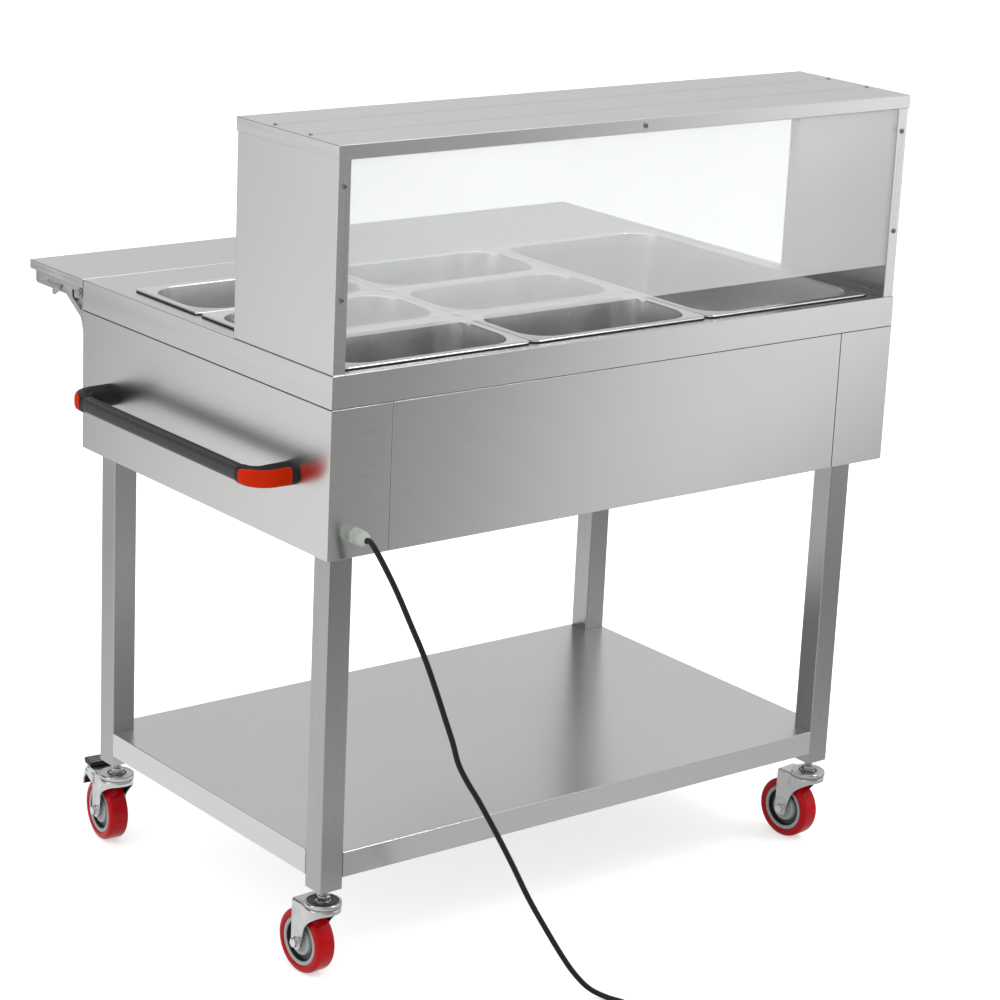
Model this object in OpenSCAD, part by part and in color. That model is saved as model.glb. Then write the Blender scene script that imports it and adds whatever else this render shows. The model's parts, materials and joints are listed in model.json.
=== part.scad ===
// Mobile steam table with a glass guard, a folding side leaf, seven lift-out pans and four casters.
// X runs along the length, Y from the guard side to the leaf side, Z up from the floor.
// The origin is at the floor, under the middle of the outer box without the cord.

/* [Deck and cabinet] */
// Length of the deck
deck_l = 1040; // [1010:1:1200]
// Width of the deck, from the guard side to the leaf side
deck_w = 645; // [625:1:760]
// Height of the deck top above the floor
deck_height = 892; // [840:1:960]
// Depth of the folded skirt round the deck
deck_skirt = 46; // [30:1:60]
// Thickness of the body sheet
sheet = 1.2; // [0.8:0.1:1.6]
// Height of the cabinet below the deck top
cabinet_depth = 257; // [250:1:300]
// Width of the left end panel where it turns onto the long sides
wrap_left = 101; // [70:1:130]
// Width of the right end panel where it turns onto the long sides
wrap_right = 105; // [70:1:130]
// Gap between neighbouring panels
seam = 0.8; // [0.4:0.1:0.9]
// Width of the inward folds along the panel edges
fold_w = 12; // [8:1:14]

/* [Pans] */
// Length of a small pan over its rim
pan_l = 325; // [300:1:328]
// Width of a small pan over its rim
pan_w = 176; // [160:1:180]
// Depth of the pans below the rim
pan_depth = 150; // [100:1:155]
// Thickness of the pan sheet
pan_sheet = 1; // [0.6:0.1:1.5]
// Width of the flat rim of a pan
rim_w = 12.5; // [11.5:0.5:14]
// Height of the turned-down rim edge
rim_h = 4; // [3:0.5:6]
// Corner radius of a pan's mouth
mouth_r = 46; // [30:1:55]
// Corner radius of the rim
rim_r = 13; // [6:1:18]
// Radius between a pan's walls and its floor
floor_r = 20; // [12:1:26]
// How far a pan's wall leans in from mouth to floor
wall_lean = 9; // [4:0.5:14]
// Gap between neighbouring rims
pan_gap = 1; // [0.8:0.1:2]
// Distance from the deck's left end to the first rim
field_left = 27; // [22:1:30]
// Distance from the deck's guard side to the first rim
field_near = 18; // [17:1:24]

/* [Water tank] */
// Depth of the water tank below the deck top
tank_depth = 200; // [196:1:205]
// Diameter of the heater tube
heater_d = 8.5; // [6:0.5:10]
// Width of the bars that carry the inner rims
divider_w = 16; // [12:1:18]
// Height of the bars that carry the inner rims
divider_h = 15; // [10:1:20]

/* [Guard] */
// Height of the guard above the deck
guard_h = 308; // [280:1:400]
// Depth of the guard's shelf
guard_depth = 242; // [200:1:300]
// Depth of the skirt round the guard's shelf
guard_skirt = 20; // [16:1:30]
// Width of the posts on the glass side
post_w = 20; // [16:1:28]
// Width of the flange on the open side
back_flange = 10; // [8:1:16]
// Width of the feet screwed to the deck
foot_w = 20; // [16:1:24]
// Thickness of the glass
glass_t = 4; // [3:0.5:6]
// Height of the gap under the glass
glass_gap = 50; // [30:1:80]

/* [Drop leaf] */
// Distance from the deck to the outer edge of the leaf
leaf_reach = 158; // [150:1:164]
// Thickness of the leaf
leaf_t = 14; // [12:0.5:18]
// Gap between the deck and the leaf
leaf_gap = 2.5; // [1.5:0.1:3]
// Width of the bracket rails under the leaf
rail_w = 18; // [16:1:24]
// Thickness of the bracket sheet
bracket_t = 1.5; // [1.2:0.1:1.8]
// Width of the folding brace
brace_w = 10; // [8:0.5:11]
// Diameter of the bracket pins
pin_d = 6; // [5:0.1:6.5]

/* [Legs and undershelf] */
// Width of a square leg
leg_w = 38; // [34:1:42]
// Wall of a square leg
leg_wall = 1.5; // [1:0.1:3]
// Inset of the left legs from the deck's end
leg_left = 16; // [14:1:20]
// Inset of the right legs from the deck's end
leg_right = 50; // [20:1:60]
// Inset of the legs on the guard side
leg_near = 16; // [15:1:24]
// Inset of the legs on the leaf side
leg_far = 31; // [20:1:40]
// Height of the undershelf above the floor
shelf_height = 195; // [190:1:260]
// Depth of the skirt round the undershelf
shelf_skirt = 38; // [25:1:42]

/* [Casters] */
// Height of a caster, from the floor to the leg
caster_h = 140; // [138:1:148]
// Diameter of a wheel
wheel_d = 96; // [90:1:98]
// Width of a wheel
wheel_w = 32; // [28:1:34]
// Distance from the swivel axis to the axle
trail = 34; // [30:1:42]
// Diameter of the swivel head
head_d = 54; // [50:1:60]
// Diameter of the axle
axle_d = 8; // [6:0.5:10]
// Turn of the near left caster about its stem
turn_near_left = 3; // [-180:1:180]
// Turn of the near right caster about its stem
turn_near_right = 6; // [-180:1:180]
// Turn of the far left caster about its stem
turn_far_left = -6; // [-180:1:180]
// Turn of the far right caster about its stem
turn_far_right = -12; // [-180:1:180]

/* [Handle] */
// Distance from the end panel to the outer face of the handle
handle_reach = 69; // [52:1:80]
// Height of the handle bar
bar_h = 23; // [21:0.5:28]
// Thickness of the handle bar
bar_w = 20; // [18:0.5:21]
// Distance between the middles of the handle's two feet
handle_span = 469; // [380:1:480]
// Distance of the handle's middle from the deck's middle, towards the leaf
handle_shift = 6; // [-40:1:40]
// Height of the handle below the deck top
handle_drop = 156; // [130:1:190]

/* [Controls and drain] */
// Diameter of the thermostat knob
knob_d = 40; // [34:1:44]
// Height of the controls below the deck top
control_drop = 214; // [208:1:220]
// Distance of the knob from the deck's right end
knob_from_right = 330; // [200:1:500]
// Width of the switch
switch_w = 30; // [26:1:34]
// Height of the switch
switch_h = 22; // [20:1:26]
// Diameter of the drain pipe
drain_d = 21; // [18:1:24]

/* [Cord] */
// Diameter of the mains cord
cord_d = 8; // [7:0.1:8.4]
// Distance of the cord's gland from the deck's left end
gland_x = 45; // [36:1:60]
// Height of the cord's gland below the deck top
gland_drop = 226; // [222:1:232]
// Length of the gland outside the panel
gland_l = 28; // [24:1:32]
// Diameter of the gland's cap
gland_d = 22; // [18:1:24]

/* [Hidden] */
$fn = 48;

// Clearance between pieces that move past each other
clear = 0.3;
// Radial clearance of a running pin
run = 0.05;
// Small overrun of a cutting shape
over = 1;
// Height of the screw heads
screw_h = 2.4;
screw_d = 8;
steel = [0.72, 0.73, 0.73];
zinc = [0.78, 0.79, 0.8];
black = [0.12, 0.12, 0.13];

// Place of the deck's near left corner in the part's frame
deck_x0 = (handle_reach - deck_l) / 2;
deck_y0 = (screw_h - deck_w - leaf_reach) / 2;

// Heights
cabinet_z = deck_height - cabinet_depth;
skirt_z = deck_height - deck_skirt;
panel_h = skirt_z - seam - cabinet_z;
cover_z = cabinet_z + sheet;
leg_tuck = 36;
leg_top = cabinet_z + leg_tuck;
tank_z = deck_height - tank_depth;

// Pan field
rows = 3;
columns = 2;
large_w = rows * pan_w + (rows - 1) * pan_gap;
pitch_x = pan_l + pan_gap;
pitch_y = pan_w + pan_gap;
field_l = (columns + 1) * pan_l + columns * pan_gap;
rim_rest = 9;
open_x = field_left + rim_rest;
open_y = field_near + rim_rest;
open_l = field_l - 2 * rim_rest;
open_w = large_w - 2 * rim_rest;
tank_gap = 2;
tank_x = open_x - tank_gap - sheet;
tank_y = open_y - tank_gap - sheet;
tank_l = open_l + 2 * (tank_gap + sheet);
tank_w = open_w + 2 * (tank_gap + sheet);
rest_z = deck_height + clear;
divider_x = [for (i = [1 : columns]) field_left + i * pitch_x - pan_gap / 2];
divider_y = [for (i = [1 : rows - 1]) field_near + i * pitch_y - pan_gap / 2];

// Heater: runs across the tank, joined by half turns at alternate ends
heater_z = tank_z + sheet + 19;
heater_runs = 6;
heater_bend = 70;
heater_x = tank_x + tank_l / 2 - (heater_runs - 1) * heater_bend;
heater_near = tank_y + 40 + heater_bend;
heater_far = tank_y + tank_w - 30 - heater_bend;
heater_end_x = [heater_x, heater_x + 2 * heater_bend * (heater_runs - 1)];

// Legs
leg_x = [leg_left, deck_l - leg_right - leg_w];
leg_y = [leg_near, deck_w - leg_far - leg_w];
// Turns of the casters: near left, near right, far left, far right
turns = [turn_near_left, turn_near_right, turn_far_left, turn_far_right];
frame_t = 1.5;

// Guard
guard_in = sheet + clear;
guard_z = deck_height + guard_h;
side_d = guard_depth - 2 * guard_in;
glass_y = guard_in + sheet + clear;
glass_in = guard_in + sheet + clear;
post_screw_x = guard_in + post_w / 2;
post_screw_z = [102, 254];
top_screw_y = [82, 165];
foot_screw_x = guard_in + foot_w / 2;
foot_screw_y = [55, 190];

// Leaf bracket
rail_in = 3;
rail_h = 19;
hinge_out = 18;
hinge_z = deck_height - leaf_t - rail_h / 2 - 0.5;
rail_end = leaf_reach - 13;
wall_rail_w = rail_w - 2 * bracket_t - 2 * clear;
wall_rail_drop = 60;
brace_foot_out = 8;
brace_foot_drop = 38;
brace_foot_z = hinge_z - brace_foot_drop;
brace_top_out = 70;
brace_run = brace_top_out - brace_foot_out;
brace_rise = brace_foot_drop + 0.5;
brace_l = norm([brace_run, brace_rise]);
brace_angle = atan2(brace_rise, brace_run);
brace_t = wall_rail_w - 2 * bracket_t - 2 * clear;
tab_out = 74;
tab_tip_out = 14;
tab_tip_drop = 9;

// Casters
axle_z = wheel_d / 2;
core_r = wheel_d / 2 - 12;
fork_in = wheel_w / 2 + 2;
fork_t = 2.5;
fork_out = fork_in + fork_t;
fork_rise = 65;
fork_top = axle_z + fork_rise;
race_z = fork_top + 2 * clear;
drum_h = 8;
boss_r = 11;
kingpin_r = 6;
pedal_y = trail + 34;
pedal_z = fork_top - 11;
pedal_pin_r = 2.5;
stem_r = 6;
dish_h = 6.5;
dish_edge = 1.5;
dish_lip = 2;
dish_groove = 3;
nut_d = 20;
nut_h = 10;
plug_gap = 0.5;
plug_h = 18;
rivet_h = 3;

// Handle
elbow_slack = 1.5;
bar_x = handle_reach - (bar_w + elbow_slack) / 2;
elbow_r = 25;
elbow_straight = bar_x - elbow_r;
elbow_tail = 8;
elbow_arc = 8;
foot_len = 38;
foot_h = 31;
handle_z = deck_height - handle_drop;
handle_near = deck_w / 2 + handle_shift - handle_span / 2;
bar_start = handle_near + elbow_r + elbow_tail;
bar_l = handle_span - 2 * (elbow_r + elbow_tail);

// Colour caps of the elbows: half angle of their section, thickness, and the stations they cover
cap_half = 58;
cap_t = 3;
cap_first = 1;
cap_last = 9;

// Controls
control_z = deck_height - control_drop;
knob_x = deck_l - knob_from_right;
lamp_x = knob_x + 62;
switch_x = knob_x + 112;
lamp_d = 10;
shaft_d = 6;
rocker_w = switch_w - 8;
rocker_h = switch_h - 8;
rocker_in = 1;
rocker_tilt = 7;
rocker_pin_r = 1.5;
rocker_pin_out = 1.2;
drain_bore = drain_d - 6;
spout_d = drain_d - 2;
drain_x = deck_l / 2 + 150;
drain_y = tank_y + tank_w - 40;
valve_z = cabinet_z - 30;
spout_l = 22;
spout_z = valve_z - 12;
lever_l = 62;

// Cord, by hand: x from the deck's left end, y from its near side, z above the floor
cord_r = cord_d / 2;
gland_z = deck_height - gland_drop;
gland_thread = 16;
cord_route = [
    [45, -28, 666], [45, -37, 666], [53, -48, 646], [72, -60, 602], [87, -75, 556], [102, -90, 509],
    [115, -100, 465], [127, -110, 420], [135, -118, 388], [141, -125, 358], [152, -132, 332],
    [166, -139, 306], [180, -147, 277], [194, -155, 247], [211, -166, 208], [232, -179, 158],
    [256, -190, 111], [281, -200, 66], [300, -208, 36], [318, -220, 14], [334, -240, 4.6],
    [345, -266, 4], [350, -296, 4], [350, -318, 4], [350, -330, 4]
];
cord_steps = 3;

// Coil on the floor: loops spiral in, climb a layer in half a turn and spiral out again
coil_centre = [300, -330];
coil_pitch = cord_d + 0.6;
coil_turns = 1.5;
coil_mid_r = 43.5;
coil_outer_r = coil_mid_r + coil_pitch * coil_turns / 2;
coil_steps = 24;
coil_count = round(coil_steps * (2 * coil_turns + 0.5));

// Outline of a rectangle l by w, set in and with round corners of n steps each
function ring(l, w, inset, r, n) =
    let (x = l / 2 - inset - r, y = w / 2 - inset - r)
    [for (q = [0 : 3], i = [0 : n])
        let (a = 90 * q + 90 * i / n, sx = (q == 0 || q == 3) ? 1 : -1, sy = q < 2 ? 1 : -1)
        [sx * x + r * cos(a), sy * y + r * sin(a)]];

// Triangles of the skin between rings of n points, with both ends closed
function skin_faces(rings, n) = concat(
    [for (i = [0 : rings - 2], j = [0 : n - 1])
        [i * n + j, i * n + (j + 1) % n, (i + 1) * n + (j + 1) % n]],
    [for (i = [0 : rings - 2], j = [0 : n - 1])
        [i * n + j, (i + 1) * n + (j + 1) % n, (i + 1) * n + j]],
    [for (j = [1 : n - 2]) [0, j + 1, j]],
    [for (j = [1 : n - 2]) [(rings - 1) * n, (rings - 1) * n + j, (rings - 1) * n + j + 1]]);

// A solid through closed rings that all have the same number of points
module skin(rings) {
    n = len(rings[0]);
    polyhedron([for (r = rings, p = r) p], skin_faces(len(rings), n), convexity = 6);
}

// A smooth curve through points, each stretch cut into steps
function bend(p0, p1, p2, p3, t) =
    0.5 * (2 * p1 + (p2 - p0) * t + (2 * p0 - 5 * p1 + 4 * p2 - p3) * t * t
        + (3 * p1 - p0 - 3 * p2 + p3) * t * t * t);

function smooth(p, steps) = concat(
    [for (i = [0 : len(p) - 2], s = [0 : steps - 1])
        let (a = i == 0 ? 2 * p[0] - p[1] : p[i - 1],
             d = i == len(p) - 2 ? 2 * p[i + 1] - p[i] : p[i + 2])
        bend(a, p[i], p[i + 1], d, s / steps)],
    [p[len(p) - 1]]);

function unit(v) = v / norm(v);

// Rings of a round tube along a path, flat across the given side direction
function tube_rings(path, r, sides, side, first, last) =
    [for (i = [0 : len(path) - 1])
        let (t = i == 0 ? first : i == len(path) - 1 ? last : unit(path[i + 1] - path[i - 1]),
             u = unit(cross(side, t)),
             v = cross(t, u))
        [for (j = [0 : sides - 1])
            let (a = 360 * (j + 0.5) / sides)
            path[i] + r * (u * cos(a) + v * sin(a))]];

module on_table() {
    translate([deck_x0, deck_y0, 0]) children();
}

// Copies of a shape made at the left end, at both ends of the deck
module both_ends() {
    children();
    translate([deck_l, 0, 0]) mirror([1, 0, 0]) children();
}

// A folded sheet tray that opens downwards, with inward lips
module tray(l, w, h, lip) {
    difference() {
        cube([l, w, h]);
        translate([sheet, sheet, lip > 0 ? sheet : -over])
            cube([l - 2 * sheet, w - 2 * sheet, h - sheet - (lip > 0 ? sheet : -over)]);
        if (lip > 0) {
            translate([sheet + lip, sheet + lip, -over])
                cube([l - 2 * (sheet + lip), w - 2 * (sheet + lip), sheet + 2 * over]);
        }
    }
}

// A round-cornered square made of squares and circles, so that it keeps true arcs
module round_square(w, d, r) {
    translate([r, 0]) square([w - 2 * r, d]);
    translate([0, r]) square([w, d - 2 * r]);
    for (x = [r, w - r], y = [r, d - r]) {
        translate([x, y]) circle(r);
    }
}

// A pan-head screw whose seat is at z = 0 and whose shank points down
module screw(shank_l) {
    cylinder(d1 = screw_d, d2 = screw_d - 3, h = screw_h);
    translate([0, 0, -shank_l]) cylinder(d = 4, h = shank_l + 0.1);
}

// Cabinet

module deck_top() {
    color(steel) on_table() difference() {
        translate([0, 0, skirt_z]) tray(deck_l, deck_w, deck_skirt, fold_w);
        translate([open_x, open_y, skirt_z]) cube([open_l, open_w, deck_skirt + over]);
        for (y = foot_screw_y, x = [foot_screw_x, deck_l - foot_screw_x]) {
            translate([x, y, deck_height - over - sheet]) cylinder(d = 4.4, h = 2 * over + sheet);
        }
    }
}

// One end panel, with its folds and the strips that the long panels lie on
module end_panel(wrap) {
    strip = 10;
    difference() {
        cube([wrap, deck_w, panel_h]);
        translate([sheet, sheet, sheet]) cube([wrap, deck_w - 2 * sheet, panel_h - 2 * sheet]);
        translate([sheet + fold_w, sheet + fold_w, -over])
            cube([wrap, deck_w - 2 * (sheet + fold_w), panel_h + 2 * over]);
    }
    for (y = [sheet, deck_w - 2 * sheet]) {
        translate([wrap - strip, y, 2 * sheet])
            cube([2 * strip, sheet, panel_h - 3 * sheet]);
    }
}

module end_panel_left() {
    color(steel) on_table() difference() {
        translate([0, 0, cabinet_z]) end_panel(wrap_left);
        translate([gland_x, -over, gland_z]) rotate([-90, 0, 0])
            cylinder(d = gland_thread + 2 * run, h = 4 * over);
    }
}

module end_panel_right() {
    color(steel) on_table() translate([deck_l, 0, cabinet_z]) mirror([1, 0, 0]) end_panel(wrap_right);
}

// A long panel with a fold along its top and its bottom, outer face at y = 0
module long_panel() {
    l = deck_l - wrap_left - wrap_right - 2 * seam;
    translate([wrap_left + seam, 0, cabinet_z]) difference() {
        cube([l, sheet + fold_w, panel_h]);
        translate([-over, sheet, sheet]) cube([l + 2 * over, fold_w + over, panel_h - 2 * sheet]);
    }
}

module rear_panel() {
    color(steel) on_table() long_panel();
}

module control_panel() {
    color(steel) on_table() difference() {
        translate([0, deck_w, 0]) mirror([0, 1, 0]) long_panel();
        translate([knob_x, deck_w + over, control_z]) rotate([90, 0, 0]) cylinder(d = 10, h = 4 * over);
        translate([lamp_x, deck_w + over, control_z]) rotate([90, 0, 0])
            cylinder(d = lamp_d, h = 4 * over);
        translate([switch_x - switch_w / 2 + 1.5, deck_w - 3 * over, control_z - switch_h / 2 + 1.5])
            cube([switch_w - 3, 4 * over, switch_h - 3]);
    }
}

module bottom_cover() {
    slack = 0.5;
    color(steel) on_table() translate([0, 0, cover_z]) difference() {
        translate([sheet + clear, sheet + clear, 0])
            cube([deck_l - 2 * (sheet + clear), deck_w - 2 * (sheet + clear), sheet]);
        for (x = leg_x, y = leg_y) {
            translate([x - slack, y - slack, -over])
                cube([leg_w + 2 * slack, leg_w + 2 * slack, sheet + 2 * over]);
        }
        translate([drain_x, drain_y, -over]) cylinder(d = drain_d + 2 * slack, h = sheet + 2 * over);
        for (i = [0 : 9]) {
            translate([deck_l / 2 - 190 + 40 * i, deck_w / 2 - 40, -over])
                cube([6, 80, sheet + 2 * over]);
        }
    }
}

// Two cross channels over the leg tops, joined by two rails
module base_frame() {
    z0 = cover_z + sheet;
    h = leg_top + frame_t - z0;
    w = leg_w + 2 * (clear + frame_t);
    y0 = leg_y[0] - 2;
    l = leg_y[1] + leg_w + 2 - y0;
    color(zinc) on_table() translate([0, 0, z0]) {
        for (x = leg_x) {
            translate([x - clear - frame_t, y0, 0]) difference() {
                cube([w, l, h]);
                translate([frame_t, -over, -over])
                    cube([w - 2 * frame_t, l + 2 * over, h - frame_t + over]);
            }
        }
        for (y = [leg_y[0] + 6, leg_y[1] + leg_w - 6 - frame_t]) {
            translate([leg_x[0] + leg_w + clear + frame_t, y, 0])
                cube([leg_x[1] - leg_x[0] - w, frame_t, h - 8]);
        }
        for (y = [leg_y[0] + 6, leg_y[1] + leg_w - 6 - 16]) {
            translate([leg_x[0] + leg_w + clear + frame_t, y, 0])
                cube([leg_x[1] - leg_x[0] - w, 16, frame_t]);
        }
    }
}

// Tank, with a flange under the deck and a ledge under each end of the divider bars
module water_tank() {
    ledge = 10;
    color(steel) on_table() difference() {
        union() {
            translate([tank_x, tank_y, tank_z]) cube([tank_l, tank_w, tank_depth - sheet]);
            translate([tank_x - 8, tank_y - 8, deck_height - 2 * sheet])
                cube([tank_l + 16, tank_w + 16, sheet]);
        }
        difference() {
            translate([tank_x + sheet, tank_y + sheet, tank_z + sheet])
                cube([tank_l - 2 * sheet, tank_w - 2 * sheet, tank_depth]);
            for (x = divider_x, y = [tank_y, tank_y + tank_w - sheet - ledge]) {
                translate([x - divider_w / 2, y, deck_height - divider_h - sheet])
                    cube([divider_w, ledge + sheet, sheet]);
            }
            for (y = divider_y) {
                translate([tank_x, y - divider_w / 2, deck_height - divider_h - sheet])
                    cube([ledge + sheet, divider_w, sheet]);
            }
        }
        translate([drain_x, drain_y, tank_z - over]) cylinder(d = drain_bore, h = sheet + 2 * over);
        for (x = heater_end_x) {
            translate([x, tank_y + tank_w + over, heater_z]) rotate([90, 0, 0])
                cylinder(d = heater_d + 2 * run, h = sheet + 2 * over);
        }
    }
}

// Bars of one width and height: along the width at each column, along the length between them
module divider_grid(w, h, end) {
    for (x = divider_x) {
        translate([x - w / 2, open_y + end, 0]) cube([w, open_w - 2 * end, h]);
    }
    for (y = divider_y) {
        translate([open_x + end, y - w / 2, 0]) cube([divider_x[columns - 1] - open_x - end, w, h]);
    }
}

module pan_dividers() {
    color(steel) on_table() translate([0, 0, deck_height - divider_h]) difference() {
        divider_grid(divider_w, divider_h, clear);
        translate([0, 0, -over])
            divider_grid(divider_w - 2 * sheet, divider_h - sheet + over, clear + sheet);
    }
}

// Tube heater in one plane, with both ends out through the far wall in hexagon nuts
module heating_element() {
    far_wall = tank_y + tank_w;
    tail = 14;
    color([0.45, 0.42, 0.4]) on_table() translate([0, 0, heater_z]) {
        for (i = [0 : heater_runs - 1]) {
            at_end = i == 0 || i == heater_runs - 1;
            translate([heater_x + 2 * heater_bend * i, heater_near, 0]) rotate([-90, 0, 0])
                cylinder(d = heater_d, h = (at_end ? far_wall + tail : heater_far) - heater_near);
        }
        for (i = [0 : heater_runs - 2]) {
            near = i % 2 == 0;
            translate([heater_x + heater_bend * (2 * i + 1), near ? heater_near : heater_far, 0])
                rotate([0, 0, near ? 180 : 0]) half_turn(heater_bend, heater_d / 2);
        }
        for (x = heater_end_x) {
            translate([x, far_wall, 0]) rotate([-90, 0, 0]) cylinder(d = 15, h = 5, $fn = 6);
        }
    }
}

module half_turn(r_bend, r) {
    rotate_extrude(angle = 180) translate([r_bend, 0]) circle(r);
}

// Legs and undershelf

module legs() {
    color(steel) on_table() for (x = leg_x, y = leg_y) {
        translate([x, y, caster_h]) linear_extrude(leg_top - caster_h) difference() {
            round_square(leg_w, leg_w, 2);
            translate([leg_wall, leg_wall])
                square([leg_w - 2 * leg_wall, leg_w - 2 * leg_wall]);
        }
    }
}

// Shelf tray between the legs' outer faces, notched and lined round each leg
module undershelf() {
    x0 = leg_x[0];
    y0 = leg_y[0];
    l = leg_x[1] + leg_w - x0;
    w = leg_y[1] + leg_w - y0;
    notch = leg_w + clear;
    color(steel) on_table() translate([x0, y0, shelf_height - shelf_skirt]) difference() {
        union() {
            tray(l, w, shelf_skirt, fold_w);
            for (x = [0, l - notch - sheet], y = [0, w - notch - sheet]) {
                translate([x, y, 0]) cube([notch + sheet, notch + sheet, shelf_skirt]);
            }
        }
        for (x = [-over, l - notch], y = [-over, w - notch]) {
            translate([x, y, -over]) cube([notch + over, notch + over, shelf_skirt + 2 * over]);
        }
    }
}

// Guard

// Side channel at the left end: wall, post, back flange, foot and top fold
module guard_side() {
    top = guard_z - sheet - deck_height;
    translate([guard_in, guard_in, deck_height]) difference() {
        union() {
            cube([sheet, side_d, top]);
            cube([post_w, sheet, top]);
            translate([0, side_d - sheet, 0]) cube([back_flange, sheet, top]);
            cube([foot_w, side_d, sheet]);
            translate([0, 0, top - sheet]) cube([post_w, side_d, sheet]);
        }
        for (z = post_screw_z) {
            translate([post_w / 2, -over, z]) rotate([-90, 0, 0]) cylinder(d = 4.4, h = sheet + 2 * over);
        }
        for (y = foot_screw_y) {
            translate([foot_w / 2, y - guard_in, -over]) cylinder(d = 4.4, h = sheet + 2 * over);
        }
        for (y = top_screw_y) {
            translate([post_w / 2, y - guard_in, top - sheet - over])
                cylinder(d = 4.4, h = sheet + 2 * over);
        }
    }
}

module guard_side_left() {
    color(steel) on_table() guard_side();
}

module guard_side_right() {
    color(steel) on_table() translate([deck_l, 0, 0]) mirror([1, 0, 0]) guard_side();
}

module guard_top_shelf() {
    color(steel) on_table() difference() {
        translate([0, 0, guard_z - guard_skirt]) tray(deck_l, guard_depth, guard_skirt, 0);
        for (x = [post_screw_x, deck_l - post_screw_x], y = top_screw_y) {
            translate([x, y, guard_z - 2 * over - sheet]) cylinder(d = 4.4, h = 4 * over);
        }
        translate([deck_l / 2, -over, guard_z - guard_skirt / 2]) rotate([-90, 0, 0])
            cylinder(d = 4.4, h = sheet + 2 * over);
    }
}

module guard_glass() {
    z0 = deck_height + glass_gap;
    top = guard_z - 2 * sheet - clear;
    hole_d = 6;
    color([0.85, 0.92, 0.92, 0.35]) on_table() difference() {
        translate([glass_in, glass_y, z0]) cube([deck_l - 2 * glass_in, glass_t, top - z0]);
        for (x = [post_screw_x, deck_l - post_screw_x], z = post_screw_z) {
            translate([x, glass_y - over, deck_height + z]) rotate([-90, 0, 0])
                cylinder(d = hole_d, h = glass_t + 2 * over);
        }
        translate([deck_l / 2, glass_y - over, guard_z - guard_skirt / 2]) rotate([-90, 0, 0])
            cylinder(d = hole_d, h = glass_t + 2 * over);
    }
}

// Screws of the guard: posts, shelf, feet and the middle of the shelf's skirt
module panel_screws() {
    through = glass_y + glass_t + 3;
    color(zinc) on_table() {
        for (x = [post_screw_x, deck_l - post_screw_x]) {
            for (z = post_screw_z) {
                translate([x, guard_in, deck_height + z]) rotate([90, 0, 0]) screw(through - guard_in);
            }
            for (y = top_screw_y) {
                translate([x, y, guard_z]) screw(8);
            }
        }
        for (x = [foot_screw_x, deck_l - foot_screw_x], y = foot_screw_y) {
            translate([x, y, deck_height + sheet]) screw(8);
        }
        translate([deck_l / 2, 0, guard_z - guard_skirt / 2]) rotate([90, 0, 0]) screw(through);
    }
}

// Handle

module handle_bar() {
    side = (bar_h - bar_w) / 2;
    color(black) on_table() translate([-bar_x, bar_start, handle_z]) rotate([-90, 0, 0])
        linear_extrude(bar_l) {
            translate([-bar_w / 2, -side]) square([bar_w, 2 * side]);
            for (s = [-1, 1]) {
                translate([0, s * side]) circle(d = bar_w);
            }
        }
}

// Middle line of an elbow from the panel to the bar: [point, outward side, width, height]
elbow_path = concat(
    [[[0, 0], [0, -1], foot_len, foot_h], [[-5, 0], [0, -1], foot_len, foot_h]],
    [for (i = [0 : elbow_arc])
        let (a = 90 * i / elbow_arc, k = min(1, i / (elbow_arc - 1)))
        [[-elbow_straight - elbow_r * sin(a), elbow_r * (1 - cos(a))], [-sin(a), -cos(a)],
            foot_len + (bar_w + elbow_slack - foot_len) * k, foot_h - 3 * k]],
    [[[-bar_x, elbow_r + elbow_tail], [-1, 0], bar_w + elbow_slack, bar_h + elbow_slack]]);

// A point on the rounded section of an elbow
function swell(a, w, h) =
    [w / 2 * sign(cos(a)) * pow(abs(cos(a)), 0.65), h / 2 * sign(sin(a)) * pow(abs(sin(a)), 0.65)];

// Section of the elbow body; where the cap lies, its outer side is set back
function body_section(w, h, capped) = concat(
    [for (i = [0 : 13]) swell(cap_half + (360 - 2 * cap_half) * i / 13, w, h)],
    [for (s = [-1, 1])
        let (p = swell(s * (capped ? cap_half : 20), w, h))
        [p[0] - (capped ? cap_t : 0), p[1]]]);

function cap_section(w, h) = concat(
    [for (i = [0 : 5]) swell(-cap_half + 2 * cap_half * i / 5, w, h)
        + [0, i == 0 ? clear / 2 : i == 5 ? -clear / 2 : 0]],
    [for (s = [1, -1])
        let (p = swell(s * cap_half, w, h))
        [p[0] - cap_t + clear / 2, p[1] - s * clear / 2]]);

// A section laid across the elbow's path at one station
function across(station, section) =
    [for (p = section)
        [station[0][0] + station[1][0] * p[0], station[0][1] + station[1][1] * p[0], p[1]]];

module elbow() {
    skin([for (i = [0 : len(elbow_path) - 1])
        let (s = elbow_path[i])
        each [if (i == cap_first || i == cap_last + 1)
                across(s, body_section(s[2], s[3], i != cap_first)),
            across(s, body_section(s[2], s[3], i >= cap_first && i <= cap_last))]]);
}

module cap() {
    skin([for (i = [cap_first : cap_last])
        let (s = elbow_path[i], k = i == cap_first ? clear / 2 : 0)
        [for (p = across(s, cap_section(s[2], s[3]))) p - [k, 0, 0]]]);
}

module both_feet() {
    for (side = [0, 1]) {
        translate([0, handle_near + side * handle_span, handle_z]) mirror([0, side, 0]) children();
    }
}

module handle_elbows() {
    color(black) on_table() both_feet() elbow();
}

module handle_caps() {
    color([0.85, 0.2, 0.06]) on_table() both_feet() cap();
}

// Cord

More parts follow.
